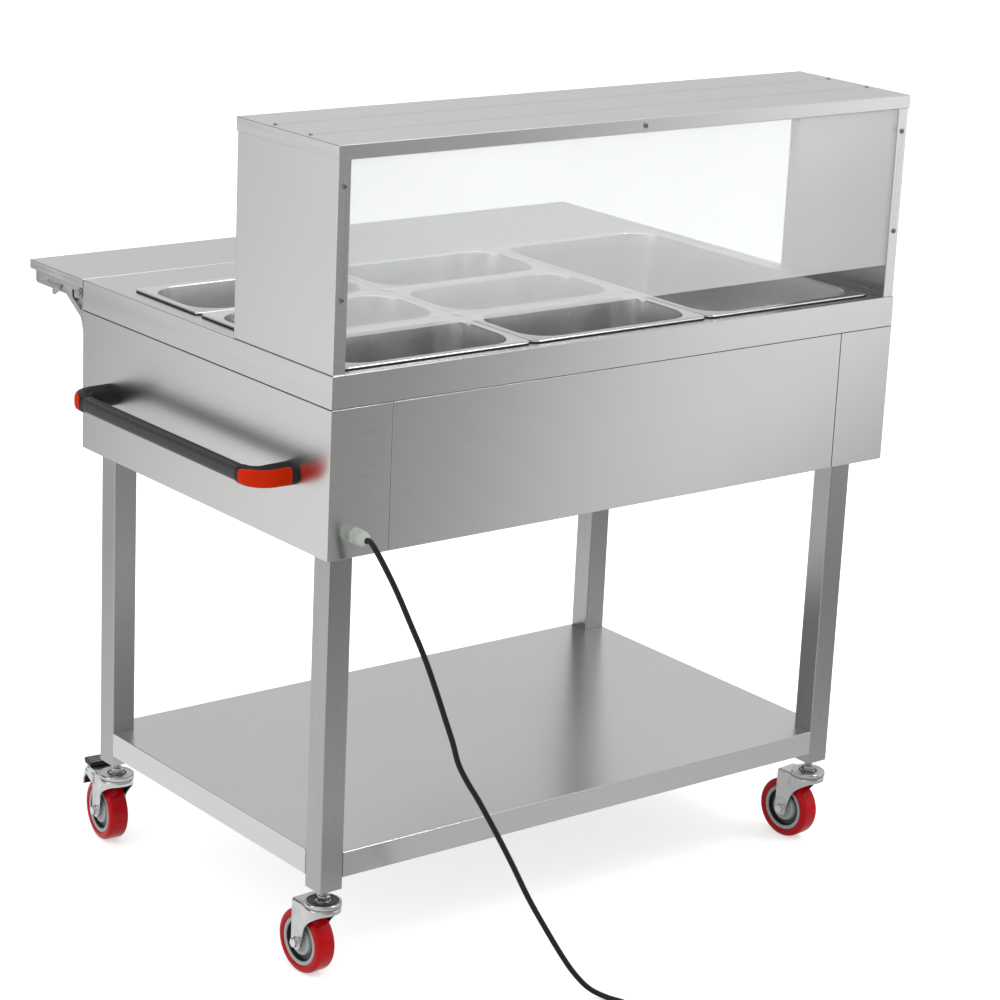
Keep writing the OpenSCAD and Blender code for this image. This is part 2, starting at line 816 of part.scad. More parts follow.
// Gland through the end panel: thread and nut inside, hexagon, collar and domed cap outside
module cable_gland() {
    color([0.78, 0.82, 0.78]) on_table() translate([gland_x, 0, gland_z]) rotate([90, 0, 0]) {
        translate([0, 0, -8]) cylinder(d = gland_thread, h = 8.1);
        translate([0, 0, -sheet - 4]) cylinder(d = gland_d, h = 4, $fn = 6);
        cylinder(d = gland_d + 4, h = 7, $fn = 6);
        translate([0, 0, 7]) cylinder(d = gland_d - 3, h = 3);
        translate([0, 0, 10]) cylinder(d = gland_d, h = gland_l - 18);
        translate([0, 0, gland_l - 8]) cylinder(d1 = gland_d, d2 = gland_d - 8, h = 8);
    }
}

free_path = smooth(cord_route, cord_steps);

module power_cord() {
    color(black) on_table()
        skin(tube_rings(free_path, cord_r, 8, [1, 0, 0], [0, -1, 0], [0, -1, 0]));
}

// One point of the coil after i steps; it turns clockwise and starts on the right
function coil_point(i) =
    let (turn = i / coil_steps,
         half = coil_turns + 0.25,
         r = coil_outer_r - coil_pitch * (turn < half ? turn : 2 * half - turn),
         k = min(1, max(0, (turn - coil_turns) / 0.5)),
         z = cord_r + coil_pitch * k * k * (3 - 2 * k))
    [coil_centre[0] + r * cos(360 * turn), coil_centre[1] - r * sin(360 * turn), z];

coil_path = [for (i = [0 : coil_count]) coil_point(i)];
coil_end = coil_point(coil_count);
plug_start = coil_end + [0, cord_d, 0];
coil_whole = concat(coil_path, [plug_start]);

// Least gap between turns, measured between points at least half a turn apart
coil_gap = min([for (i = [0 : coil_count - 12], j = [i + 12 : coil_count])
    norm(coil_path[i] - coil_path[j])]) - cord_d;
echo("least gap between the coil's turns in mm", coil_gap);

function path_length(p, i = 0) = i >= len(p) - 1 ? 0 : norm(p[i + 1] - p[i]) + path_length(p, i + 1);
echo("length of the free cord in mm", path_length(free_path));
echo("length of the coil in mm", path_length(coil_whole));

module cord_coil() {
    color(black) on_table()
        skin(tube_rings(coil_whole, cord_r, 6, [0, 0, 1], [0, -1, 0], [0, 1, 0]));
}

// Moulded plug lying beside the coil: tapered neck, body and three pins
module power_plug() {
    body_l = 26;
    neck_l = 22;
    pin_l = 17;
    h = 2 * plug_start[2];
    color(black) on_table() translate(plug_start) rotate([-90, 0, 0]) {
        cylinder(d1 = cord_d + 1, d2 = h - 8, h = neck_l);
        translate([0, 0, neck_l]) linear_extrude(body_l) translate([-15, -h / 2]) round_square(30, h, 6);
        for (x = [-6.35, 6.35]) {
            translate([x - 0.8, -6, neck_l + body_l]) cube([1.6, 6.4, pin_l]);
        }
        translate([0, 7, neck_l + body_l]) cylinder(d = 4.8, h = pin_l + 2);
    }
}

// Controls

module thermostat_body() {
    inner = deck_w - sheet;
    color([0.85, 0.85, 0.82]) on_table() translate([knob_x, inner, control_z]) rotate([90, 0, 0]) {
        translate([-22, -18, 0]) cube([44, 36, 30]);
        translate([0, 0, -sheet - 14]) cylinder(d = shaft_d, h = sheet + 15);
        translate([-16, 0, 30]) cylinder(d = 3, h = 8);
        translate([16, 0, 30]) cylinder(d = 3, h = 8);
    }
}

module indicator_lamp() {
    color([0.9, 0.5, 0.1]) on_table() translate([lamp_x, deck_w, control_z]) rotate([-90, 0, 0]) {
        cylinder(d = lamp_d + 4, h = 2);
        translate([0, 0, 2]) cylinder(d1 = lamp_d, d2 = lamp_d - 3, h = 3);
        translate([0, 0, -24]) cylinder(d = lamp_d - 2 * run, h = 24.1);
    }
}

// Bezel and case of the rocker switch
module switch_frame() {
    color(black) on_table() translate([switch_x, deck_w, control_z]) difference() {
        union() {
            translate([-switch_w / 2, 0, -switch_h / 2]) cube([switch_w, 2, switch_h]);
            translate([-switch_w / 2 + 1.6, -22, -switch_h / 2 + 1.6])
                cube([switch_w - 3.2, 22.1, switch_h - 3.2]);
        }
        translate([-rocker_w / 2 - clear, -10, -rocker_h / 2 - clear])
            cube([rocker_w + 2 * clear, 13, rocker_h + 2 * clear]);
        translate([0, -rocker_in, -rocker_h / 2 - rocker_pin_out - clear])
            cylinder(r = rocker_pin_r + run, h = rocker_h + 2 * (rocker_pin_out + clear));
    }
}

// Rocker that tips about an upright pin; at rest one side is pressed in
module switch_rocker() {
    r = rocker_w / 2;
    color([0.1, 0.1, 0.1]) on_table() translate([switch_x, deck_w - rocker_in, control_z])
        rotate([0, 0, -rocker_tilt]) {
            translate([0, 0, -rocker_h / 2]) linear_extrude(rocker_h) intersection() {
                circle(r);
                polygon([[-r - 1, 5], [0, 3], [r + 1, 5], [r + 1, -2], [0, -6], [-r - 1, -2]]);
            }
            translate([0, 0, -rocker_h / 2 - rocker_pin_out])
                cylinder(r = rocker_pin_r, h = rocker_h + 2 * rocker_pin_out);
        }
}

// Knob on the thermostat's shaft, with a pointer rib
module thermostat_knob() {
    skirt = 4;
    body_d = knob_d - 8;
    color(black) on_table() translate([knob_x, deck_w, control_z]) rotate([-90, 0, 0]) difference() {
        union() {
            translate([0, 0, 1]) cylinder(d1 = knob_d, d2 = knob_d - 3, h = skirt);
            translate([0, 0, 1]) cylinder(d1 = body_d, d2 = body_d - 4, h = 19);
            translate([-3, -knob_d / 2 + 3, 1]) cube([6, knob_d - 6, 21]);
        }
        translate([0, 0, -over]) cylinder(d = shaft_d + 2 * run, h = 16 + over);
    }
}

// Drain pipe from the tank floor to a ball valve under the cabinet
module drain_valve() {
    color([0.8, 0.68, 0.4]) on_table() translate([drain_x, drain_y, 0]) difference() {
        union() {
            translate([0, 0, valve_z]) cylinder(d = drain_d, h = tank_z - valve_z);
            translate([0, 0, tank_z - 5]) cylinder(d = drain_d + 9, h = 5, $fn = 6);
            translate([0, 0, spout_z]) cylinder(d = drain_d + 7, h = 9, $fn = 6);
            translate([0, 0, valve_z]) sphere(d = drain_d + 7);
            translate([0, 0, valve_z + 5]) cylinder(d = drain_d + 7, h = 9, $fn = 6);
            translate([0, 0, spout_z - spout_l]) cylinder(d = spout_d, h = spout_l + 4);
            translate([0, 0, valve_z]) rotate([-90, 0, 0]) cylinder(d = 9, h = drain_d / 2 + 9);
            translate([0, 0, valve_z]) rotate([-90, 0, 0]) cylinder(d = 5, h = drain_d / 2 + 16);
        }
        translate([0, 0, spout_z - spout_l - over]) cylinder(d = drain_bore, h = spout_l + 4 + over);
        translate([0, 0, valve_z + 8]) cylinder(d = drain_bore, h = tank_z - valve_z);
    }
}

// Lever of the drain valve: across the pipe when shut
module drain_lever() {
    y = drain_d / 2 + 9 + clear;
    color([0.75, 0.12, 0.1]) on_table() translate([drain_x, drain_y + y, valve_z]) rotate([-90, 0, 0])
        linear_extrude(3) difference() {
            union() {
                circle(d = 16);
                translate([0, -5]) square([lever_l, 10]);
                translate([lever_l, 0]) circle(d = 10);
            }
            circle(d = 5 + 2 * run);
        }
}

// Leaf and its brackets

// Side view of a bracket, y outwards from the deck and z up, extruded along x
module plate(x, t) {
    translate([x, deck_w, 0]) rotate([90, 0, 90]) linear_extrude(t) children();
}

// Upright channels on the cabinet, with the fixed pins of the rail and the brace
module leaf_wall_rails() {
    x0 = rail_in + bracket_t + clear;
    r = 8;
    color(zinc) on_table() both_ends() {
        for (x = [x0, x0 + wall_rail_w - bracket_t]) {
            plate(x, bracket_t) {
                translate([hinge_out, hinge_z]) circle(r);
                translate([brace_foot_out, brace_foot_z]) circle(pin_d / 2 + 3);
                polygon([[0, hinge_z + r], [hinge_out, hinge_z + r], [hinge_out + r, hinge_z],
                    [hinge_out, hinge_z - r], [brace_foot_out + 4, hinge_z - 2 * r],
                    [brace_foot_out + 4, brace_foot_z - 4], [brace_foot_out - 1, hinge_z - wall_rail_drop],
                    [0, hinge_z - wall_rail_drop]]);
            }
        }
        plate(x0, wall_rail_w) translate([0, hinge_z - wall_rail_drop])
            square([bracket_t, wall_rail_drop + r]);
        plate(rail_in - 1.5, rail_w + 3) translate([hinge_out, hinge_z]) circle(d = pin_d);
        for (x = [rail_in - clear - 1.5, rail_in + rail_w + clear]) {
            plate(x, 1.5) translate([hinge_out, hinge_z]) circle(d = pin_d + 4);
        }
        plate(x0, wall_rail_w) translate([brace_foot_out, brace_foot_z]) circle(d = pin_d);
    }
}

module leaf_board() {
    color(steel) on_table() translate([0, deck_w + leaf_gap, deck_height - leaf_t])
        tray(deck_l, leaf_reach - leaf_gap, leaf_t, fold_w);
}

// Rails under the leaf: inverted channels, round about the hinge pin, with a slot for the brace,
// a notch in the lower edge and a small hole at the outer end
module leaf_rails() {
    r = rail_h / 2 - 0.5;
    slot_h = 4;
    slot_l = 45;
    notch_w = 6;
    color(zinc) on_table() both_ends() {
        for (x = [rail_in, rail_in + rail_w - bracket_t]) {
            plate(x, bracket_t) difference() {
                union() {
                    translate([hinge_out, hinge_z]) circle(r);
                    translate([hinge_out, hinge_z - r]) square([rail_end - hinge_out - 5, rail_h]);
                    translate([hinge_out, hinge_z - r + 5]) square([rail_end - hinge_out, rail_h - 5]);
                    translate([rail_end - 5, hinge_z - r + 5]) circle(5);
                }
                translate([hinge_out, hinge_z]) circle(d = pin_d + 2 * run);
                translate([brace_top_out - 6, hinge_z - 1]) square([slot_l, slot_h]);
                translate([hinge_out + 13, hinge_z - r - over]) square([notch_w, 11 + over]);
                translate([rail_end - 14, hinge_z - 3]) circle(d = 4);
            }
        }
        plate(rail_in, rail_w) translate([hinge_out, hinge_z - r + rail_h - bracket_t])
            square([rail_end - hinge_out, bracket_t]);
        plate(rail_in - 2.5, 2.6) translate([tab_out, hinge_z - 3]) circle(d = 5);
    }
}

// Folding brace of one bracket, in the open place
module brace() {
    x0 = rail_in + bracket_t + clear + bracket_t + clear;
    r = brace_w / 2;
    plate(x0, brace_t) difference() {
        translate([brace_foot_out, brace_foot_z]) rotate([0, 0, brace_angle]) {
            circle(r);
            translate([0, -r]) square([brace_l, brace_w]);
            translate([brace_l, 0]) circle(r);
        }
        translate([brace_foot_out, brace_foot_z]) circle(d = pin_d + 2 * run);
    }
}

module brace_left() {
    color(zinc) on_table() brace();
}

module brace_right() {
    color(zinc) on_table() translate([deck_l, 0, 0]) mirror([1, 0, 0]) brace();
}

// Tongue that frees the brace, hung on a stub at the outside of the rail
module release_tab() {
    r = 5;
    tip_angle = atan2(-tab_tip_drop, tab_tip_out);
    tip_l = norm([tab_tip_out, tab_tip_drop]);
    plate(rail_in - clear - 1.5, 1.5) translate([tab_out, hinge_z - 3]) rotate([0, 0, tip_angle])
        difference() {
            union() {
                circle(r);
                translate([0, -r]) square([tip_l, 2 * r]);
                translate([tip_l, 0]) circle(r);
            }
            circle(d = 5 + 2 * run);
        }
}

module release_tab_left() {
    color(zinc) on_table() release_tab();
}

module release_tab_right() {
    color(zinc) on_table() translate([deck_l, 0, 0]) mirror([1, 0, 0]) release_tab();
}

// Pans

// One skin of a pan, from the turned-down edge over the rim to the floor; t is 0 for the upper skin
// and the sheet's thickness for the lower one, except on the rim, where they lie the other way round
function pan_rings(l, w, t) =
    let (lean = wall_lean / (pan_depth - floor_r),
         edge = [[t, 0], [t, rim_h - 1.2 - t], [0.4 + t, rim_h - 0.35 - t], [1.2 + t, rim_h - t]],
         lip = [[rim_w - 1.5, rim_h - t], [rim_w + t * 0.6 - 0.3, rim_h - 0.7 - t],
             [rim_w + 1, rim_h - 2.6 - t]],
         bowl = rim_w + 1 + lean * (pan_depth - floor_r))
    concat(
        [for (s = edge) pan_ring(l, w, s[0], rim_r - s[0], s[1])],
        [for (s = lip) pan_ring(l, w, s[0] - t, mouth_r + 1 - s[0] + rim_w + t, s[1])],
        [for (i = [0 : 4])
            let (a = 90 * i / 4, in = floor_r * (1 - cos(a)), down = (floor_r + t) * sin(a))
            pan_ring(l, w, bowl + in - t, mouth_r - 6 - in + t, floor_r - pan_depth - down)]);

function pan_ring(l, w, inset, r, z) = [for (p = ring(l, w, inset, max(r, 1), 5)) [p[0], p[1], z]];

function reversed(list) = [for (i = [len(list) - 1 : -1 : 0]) list[i]];

// A pan with its rim's lower edge on the deck, given by its near left corner, length and width
module pan(x, y, l, w) {
    color([0.8, 0.81, 0.81]) on_table() translate([x + l / 2, y + w / 2, rest_z])
        skin(concat(reversed(pan_rings(l, w, pan_sheet)), pan_rings(l, w, 0)));
}

// Small pans are numbered by column from the left, and in a column from the guard side
module small_pan(i) {
    pan(field_left + floor((i - 1) / rows) * pitch_x, field_near + ((i - 1) % rows) * pitch_y, pan_l, pan_w);
}

// Casters, each drawn about its own stem: the wheel trails towards y, z is the height above the floor

module at_stem(i) {
    translate([leg_x[i % 2] + leg_w / 2, leg_y[floor(i / 2)] + leg_w / 2, 0]) rotate([0, 0, turns[i]])
        children();
}

// Plug in the leg, threaded stem, nut, upper dish and the riveted king pin
module stem() {
    r = head_d / 2;
    inside = leg_w - 2 * leg_wall - 2 * clear / 3;
    nut_z = race_z + dish_h;
    lip_z = nut_z + dish_lip;
    rivet_z = fork_top - fork_t - clear - rivet_h;
    rotate_extrude() polygon([[0, race_z], [r - 2 * dish_edge / 3, race_z], [r, race_z + dish_edge],
        [r, nut_z - dish_edge / 3], [r - dish_groove, lip_z], [r - dish_groove - 2 * dish_lip, lip_z],
        [r - 3 * dish_groove, nut_z], [0, nut_z]]);
    translate([0, 0, nut_z]) cylinder(d = nut_d, h = nut_h, $fn = 6);
    translate([0, 0, nut_z]) cylinder(r = stem_r, h = caster_h + plug_h / 2 - nut_z);
    translate([-inside / 2, -inside / 2, caster_h + plug_gap]) cube([inside, inside, plug_h]);
    translate([0, 0, rivet_z]) cylinder(r = kingpin_r + rivet_h, h = rivet_h);
    translate([0, 0, rivet_z + rivet_h / 2]) cylinder(r = kingpin_r, h = race_z - rivet_z);
}

module caster_stems() {
    color(zinc) on_table() for (i = [0 : 3]) {
        translate([leg_x[i % 2] + leg_w / 2, leg_y[floor(i / 2)] + leg_w / 2, 0]) stem();
    }
}

// Side view of one cheek of the fork: y towards the trailing side, z up
module cheek(brake) {
    back = trail + boss_r;
    difference() {
        union() {
            translate([trail, axle_z]) circle(boss_r);
            polygon([[-14, fork_top], [back, fork_top], [back, axle_z], [trail - boss_r, axle_z],
                [trail - boss_r - 6, axle_z + 19], [trail - boss_r - 13, axle_z + 33], [-2, fork_top - 20],
                [-14, fork_top - 13]]);
            if (brake) {
                translate([pedal_y, pedal_z]) circle(6);
                polygon([[back - 10, fork_top], [back, fork_top], [pedal_y, pedal_z + 6],
                    [pedal_y + 5, pedal_z - 3], [pedal_y, pedal_z - 6], [back, fork_top - 25]]);
            }
        }
        translate([trail, axle_z]) circle(d = axle_d + 2 * run);
    }
}

// A side view drawn in y and z, extruded along x from x
module upright(x, t) {
    translate([x, 0, 0]) rotate([90, 0, 90]) linear_extrude(t) children();
}

module fork(brake) {
    r = head_d / 2 - 1;
    back = trail + boss_r;
    difference() {
        union() {
            translate([0, 0, fork_top - drum_h]) cylinder(r = r, h = drum_h);
            translate([-fork_out, 0, fork_top - fork_t]) cube([2 * fork_out, back, fork_t]);
            upright(-fork_out, fork_t) cheek(brake);
            upright(fork_in, fork_t) cheek(brake);
        }
        translate([0, 0, fork_top - drum_h - over])
            cylinder(r = r - fork_t, h = drum_h + over - fork_t);
        translate([-fork_in, 0, fork_top - drum_h - over])
            cube([2 * fork_in, r + over, drum_h + over - fork_t]);
        translate([0, 0, fork_top - fork_t - over]) cylinder(r = kingpin_r + run, h = fork_t + 2 * over);
    }
    if (brake) {
        translate([-fork_out - 1, pedal_y, pedal_z]) rotate([0, 90, 0])
            cylinder(r = pedal_pin_r, h = 2 * fork_out + 2);
    }
    axle_bolt();
}

module axle_bolt() {
    head_h = 5.5;
    lash = 0.1;
    half = fork_out + lash;
    translate([-half - head_h, trail, axle_z]) rotate([0, 90, 0]) {
        cylinder(d = axle_d, h = 2 * (half + head_h) + 2);
        cylinder(d = axle_d + 7, h = head_h, $fn = 6);
        translate([0, 0, 2 * half + head_h]) cylinder(d = axle_d + 7, h = head_h, $fn = 6);
    }
}

module caster_fork(i) {
    color(zinc) on_table() at_stem(i) fork(i >= 2);
}

// Spoked grey core with a long hub between the cheeks
module wheel_core(i) {
    hub = fork_in - clear;
    bore = axle_d / 2 + run;
    rim = wheel_w / 2 - 2;
    color([0.62, 0.63, 0.62]) on_table() at_stem(i) translate([0, trail, axle_z]) rotate([0, 90, 0])
        rotate_extrude() polygon([[bore, -hub], [bore + 4, -hub], [bore + 4, 1 - rim], [19, 1 - rim],
            [20, -8], [core_r - 7, -8], [core_r - 6, -rim], [core_r, -rim], [core_r, rim],
            [core_r - 6, rim], [core_r - 7, 8], [20, 8], [19, rim - 1], [bore + 4, rim - 1],
            [bore + 4, hub], [bore, hub]]);
}

module wheel_tread(i) {
    shoulder = min(6, (wheel_d / 2 - core_r) / 2);
    r = wheel_d / 2;
    h = wheel_w / 2;
    color([0.75, 0.05, 0.08]) on_table() at_stem(i) translate([0, trail, axle_z]) rotate([0, 90, 0])
        rotate_extrude() {
            translate([core_r, -h]) square([r - shoulder - core_r, 2 * h]);
            translate([core_r, shoulder - h]) square([r - core_r, 2 * (h - shoulder)]);
            for (s = [-1, 1]) {
                translate([r - shoulder, s * (h - shoulder)]) circle(shoulder);
            }
        }
}

// Brake lever between the fork's ears: a wide pad to step on and a shoe over the wheel
module brake_pedal(i) {
    half = fork_in - clear;
    pad_half = 25;
    color(black) on_table() at_stem(i) {
        difference() {
            upright(-half, 2 * half) translate([pedal_y, pedal_z]) {
                circle(5);
                polygon([[-5, 1], [-10, 14], [1, 18], [5, 3], [13, -5], [19, -17], [21, -27], [18, -30],
                    [15, -28], [15, -19], [9, -9], [1, -5], [-4, -3]]);
            }
            translate([-half - over, pedal_y, pedal_z]) rotate([0, 90, 0])
                cylinder(r = pedal_pin_r + run, h = 2 * (half + over));
        }
        upright(-pad_half, 2 * pad_half) translate([pedal_y, pedal_z])
            polygon([[-16.5, 12], [-16.5, 22], [2, 26], [7, 22], [3, 12]]);
    }
}

deck_top();
end_panel_left();
end_panel_right();
rear_panel();
control_panel();
bottom_cover();
base_frame();
water_tank();
heating_element();
pan_dividers();
legs();
undershelf();
guard_side_left();
guard_side_right();
guard_top_shelf();
guard_glass();
panel_screws();
handle_bar();
handle_elbows();
handle_caps();
cable_gland();
power_cord();
cord_coil();
power_plug();
thermostat_body();
indicator_lamp();
switch_frame();
drain_valve();
caster_stems();
leaf_wall_rails();
leaf_board();
leaf_rails();
brace_left();
brace_right();
release_tab_left();
release_tab_right();
thermostat_knob();
switch_rocker();
drain_lever();
small_pan(1);  // pan_small_1
small_pan(2);  // pan_small_2
small_pan(3);  // pan_small_3
small_pan(4);  // pan_small_4
small_pan(5);  // pan_small_5
small_pan(6);  // pan_small_6
pan(field_left + columns * pitch_x, field_near, pan_l, large_w);  // pan_large
caster_fork(0);  // caster_fork_near_left
caster_fork(1);  // caster_fork_near_right
caster_fork(2);  // caster_fork_far_left
caster_fork(3);  // caster_fork_far_right
wheel_core(0);  // wheel_core_near_left
wheel_core(1);  // wheel_core_near_right
wheel_core(2);  // wheel_core_far_left
wheel_core(3);  // wheel_core_far_right
wheel_tread(0);  // wheel_tread_near_left
wheel_tread(1);  // wheel_tread_near_right
wheel_tread(2);  // wheel_tread_far_left
wheel_tread(3);  // wheel_tread_far_right
brake_pedal(2);  // brake_pedal_far_left
brake_pedal(3);  // brake_pedal_far_right
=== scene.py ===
import json
import math

import bmesh
import bpy
from mathutils import Matrix, Vector


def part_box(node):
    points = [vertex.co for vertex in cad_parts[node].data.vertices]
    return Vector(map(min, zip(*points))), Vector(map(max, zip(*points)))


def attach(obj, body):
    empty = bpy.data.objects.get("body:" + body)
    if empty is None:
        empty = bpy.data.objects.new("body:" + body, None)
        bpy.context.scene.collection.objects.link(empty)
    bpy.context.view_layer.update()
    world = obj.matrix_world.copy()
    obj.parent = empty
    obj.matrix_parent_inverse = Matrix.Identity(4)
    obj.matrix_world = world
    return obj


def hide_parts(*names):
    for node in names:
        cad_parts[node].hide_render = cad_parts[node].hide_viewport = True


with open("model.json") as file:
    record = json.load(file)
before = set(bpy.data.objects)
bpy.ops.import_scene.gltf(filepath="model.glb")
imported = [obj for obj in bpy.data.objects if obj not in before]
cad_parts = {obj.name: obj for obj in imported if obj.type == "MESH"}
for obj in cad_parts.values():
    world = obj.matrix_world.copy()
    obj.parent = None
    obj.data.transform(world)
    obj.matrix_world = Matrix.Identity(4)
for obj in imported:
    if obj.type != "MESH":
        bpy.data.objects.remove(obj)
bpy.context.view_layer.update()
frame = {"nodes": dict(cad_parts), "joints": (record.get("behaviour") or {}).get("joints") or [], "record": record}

# Looks of the mobile steam table. Shapes are drawn in millimetres and made into metres at the end.
# X runs along the length, Y from the guard side to the leaf side, Z up from the floor.

MM = 0.001
record = frame["record"]
body_of_node = {n: b for b, nodes in record["behaviour"]["bodies"].items() for n in nodes}
slot_of_node = {s["node"]: s["material_slot"] for s in record["subparts"]}
joints = {j["name"]: j for j in frame["joints"]}
deck_low, deck_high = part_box("deck_top")
deck_corner = Vector((deck_low.x, deck_low.y, 0))


def box_mm(node):
    """A node's lowest and highest corners in millimetres."""
    return [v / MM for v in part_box(node)]


# Camera, from the corners of the table in the photograph; its place is measured from the deck's corner

camera_from_deck = (-2.23406, -3.16620, 1.89586)
camera_yaw = 38.58
camera_pitch = 16.72
camera_roll = 2.67
camera_lens = 109.1
sensor_width = 36.0


def new_object(name, data):
    made = bpy.data.objects.new(name, data)
    bpy.context.scene.collection.objects.link(made)
    return made


def make_camera():
    yaw, pitch, roll = (math.radians(a) for a in (camera_yaw, camera_pitch, camera_roll))
    ahead = Vector((math.sin(yaw) * math.cos(pitch), math.cos(yaw) * math.cos(pitch), -math.sin(pitch)))
    side = Vector((math.cos(yaw), -math.sin(yaw), 0))
    above = side.cross(ahead)
    right = math.cos(roll) * side + math.sin(roll) * above
    up = math.cos(roll) * above - math.sin(roll) * side
    data = bpy.data.cameras.new("camera")
    data.lens = camera_lens
    data.sensor_width = sensor_width
    data.clip_end = 100
    camera = new_object("camera", data)
    turn = Matrix((right, up, -ahead)).transposed().to_4x4()
    camera.matrix_world = Matrix.Translation(deck_corner + Vector(camera_from_deck)) @ turn
    bpy.context.scene.camera = camera


make_camera()


# Node trees

def feed(tree, node, inputs):
    """Sets a node's inputs, each to a value or to another node's output."""
    for name, value in inputs.items():
        if isinstance(value, bpy.types.NodeSocket):
            tree.links.new(value, node.inputs[name])
        else:
            node.inputs[name].default_value = value


def add(tree, kind, settings=None, inputs=None):
    """Adds a node. Settings are its own properties."""
    node = tree.nodes.new("ShaderNode" + kind)
    for name, value in (settings or {}).items():
        setattr(node, name, value)
    feed(tree, node, inputs or {})
    return node


def ramp(tree, factor, stops):
    """A grey ramp through stops, each (position, level)."""
    node = add(tree, "ValToRGB", inputs={"Fac": factor})
    points = node.color_ramp.elements
    while len(points) < len(stops):
        points.new(1)
    for point, (position, grey) in zip(points, stops):
        point.position = position
        point.color = (grey, grey, grey, 1)
    return node.outputs["Color"]


def spread(tree, value, low, high, start=0.0, end=1.0):
    """Maps a value from start..end to low..high."""
    inputs = {"Value": value, "From Min": start, "From Max": end, "To Min": low, "To Max": high}
    return add(tree, "MapRange", inputs=inputs).outputs["Result"]


def noise(tree, scale, detail, stretch=(1, 1, 1), roughness=0.5):
    """Noise in the part's own metres, stretched by different scales along X, Y and Z."""
    place = add(tree, "TexCoord").outputs["Object"]
    scaled = add(tree, "Mapping", inputs={"Vector": place, "Scale": stretch}).outputs["Vector"]
    made = add(tree, "TexNoise", inputs={"Vector": scaled, "Scale": scale, "Detail": detail,
                                         "Roughness": roughness})
    return made.outputs["Fac"]


def mixed(tree, factor, first, second):
    """Two colours mixed by a factor; each is a tuple or an output."""
    first, second = ((*c, 1) if isinstance(c, tuple) else c for c in (first, second))
    inputs = {"Factor": factor, 6: first, 7: second}
    return add(tree, "Mix", {"data_type": "RGBA"}, inputs).outputs[2]


def blend(tree, factor, first, second):
    """Two shaders mixed by a factor."""
    return add(tree, "MixShader", inputs={0: factor, 1: first, 2: second}).outputs[0]


def bump(tree, height, strength, distance, below=None):
    """Relief on the surface, on top of the relief below it."""
    inputs = {"Height": height, "Strength": strength, "Distance": distance}
    if below is not None:
        inputs["Normal"] = below
    return add(tree, "Bump", inputs=inputs).outputs["Normal"]


def worn_edges(tree, colour, lighter):
    """Lightens a colour along the convex edges, where it rubs."""
    edge = add(tree, "NewGeometry").outputs["Pointiness"]
    rub = ramp(tree, edge, [(0.52, 0.0), (0.6, 1.0)])
    return mixed(tree, rub, colour, lighter)


def new_material(name):
    made = bpy.data.materials.new(name)
    made.use_nodes = True
    return made, made.node_tree, made.node_tree.nodes["Principled BSDF"]


def put(tree, shader, **inputs):
    """Sets a shader's inputs: spaces in their names are written as underscores."""
    feed(tree, shader, {name.replace("_", " "): value for name, value in inputs.items()})


def tint(colour, factor):
    return tuple(c * factor for c in colour)


# Materials

# Grain: stretch of the scratches, axis of the tangent and its turn on the surface
grains = {"x": ((0.02, 1, 1), "X", 0.0), "level": ((0.02, 0.02, 1), "Z", 0.25),
         "z": ((1, 1, 0.02), "Z", 0.0)}


def brushed_steel(name, colour, roughness, grain, contrast=0.05):
    """Brushed sheet: fine scratches that blur reflections across the grain, and broad marks."""
    made, tree, shader = new_material(name)
    stretch, axis, turn = grains[grain]
    fine = noise(tree, 900, 3, stretch, 0.7)
    bands = noise(tree, 160, 2, stretch)
    marks = noise(tree, 5, 4)
    scratch = mixed(tree, fine, tint(colour, 1 - contrast), tint(colour, 1 + contrast))
    banded = mixed(tree, spread(tree, bands, 0.0, 0.5), scratch, tint(colour, 1 - contrast))
    across_grain = add(tree, "Tangent", {"direction_type": "RADIAL", "axis": axis})
    put(tree, shader, Base_Color=banded, Metallic=1.0, Anisotropic=0.8, Anisotropic_Rotation=turn,
        Tangent=across_grain.outputs["Tangent"])
    rough = add(tree, "Math", {"operation": "ADD"}, {
        0: spread(tree, fine, roughness - 0.04, roughness + 0.04), 1: spread(tree, marks, -0.02, 0.03)})
    low = bump(tree, marks, 0.12, 0.0003)
    put(tree, shader, Roughness=rough.outputs[0], Normal=bump(tree, fine, 0.12, 0.00003, low))
    return made


def satin_steel(name, colour, roughness):
    """Deep-drawn pan sheet: soft vertical draw marks and faint scouring."""
    made, tree, shader = new_material(name)
    scour = noise(tree, 500, 4, (1, 1, 0.25), 0.7)
    draw = noise(tree, 40, 2, (1, 1, 0.1))
    tone = mixed(tree, scour, tint(colour, 0.95), tint(colour, 1.04))
    put(tree, shader, Base_Color=worn_edges(tree, tone, tint(colour, 1.12)), Metallic=1.0,
        Roughness=spread(tree, scour, roughness - 0.05, roughness + 0.06),
        Normal=bump(tree, scour, 0.1, 0.00004, bump(tree, draw, 0.12, 0.0003)))
    return made


def zinc_plate(name, colour, roughness, spots):
    """Bright zinc: mottled crystals and duller spots."""
    made, tree, shader = new_material(name)
    cells = add(tree, "TexVoronoi", inputs={
        "Vector": add(tree, "TexCoord").outputs["Object"], "Scale": 420.0})
    dull = noise(tree, 70, 4)
    tone = mixed(tree, cells.outputs["Distance"], tint(colour, 1.05), tint(colour, 0.92))
    spotted = mixed(tree, ramp(tree, dull, [(0.5, 0.0), (0.75, 1.0)]), tone, tint(colour, spots))
    put(tree, shader, Base_Color=worn_edges(tree, spotted, tint(colour, 1.2)), Metallic=1.0,
        Roughness=spread(tree, dull, roughness - 0.05, roughness + 0.1),
        Normal=bump(tree, dull, 0.12, 0.0002))
    return made


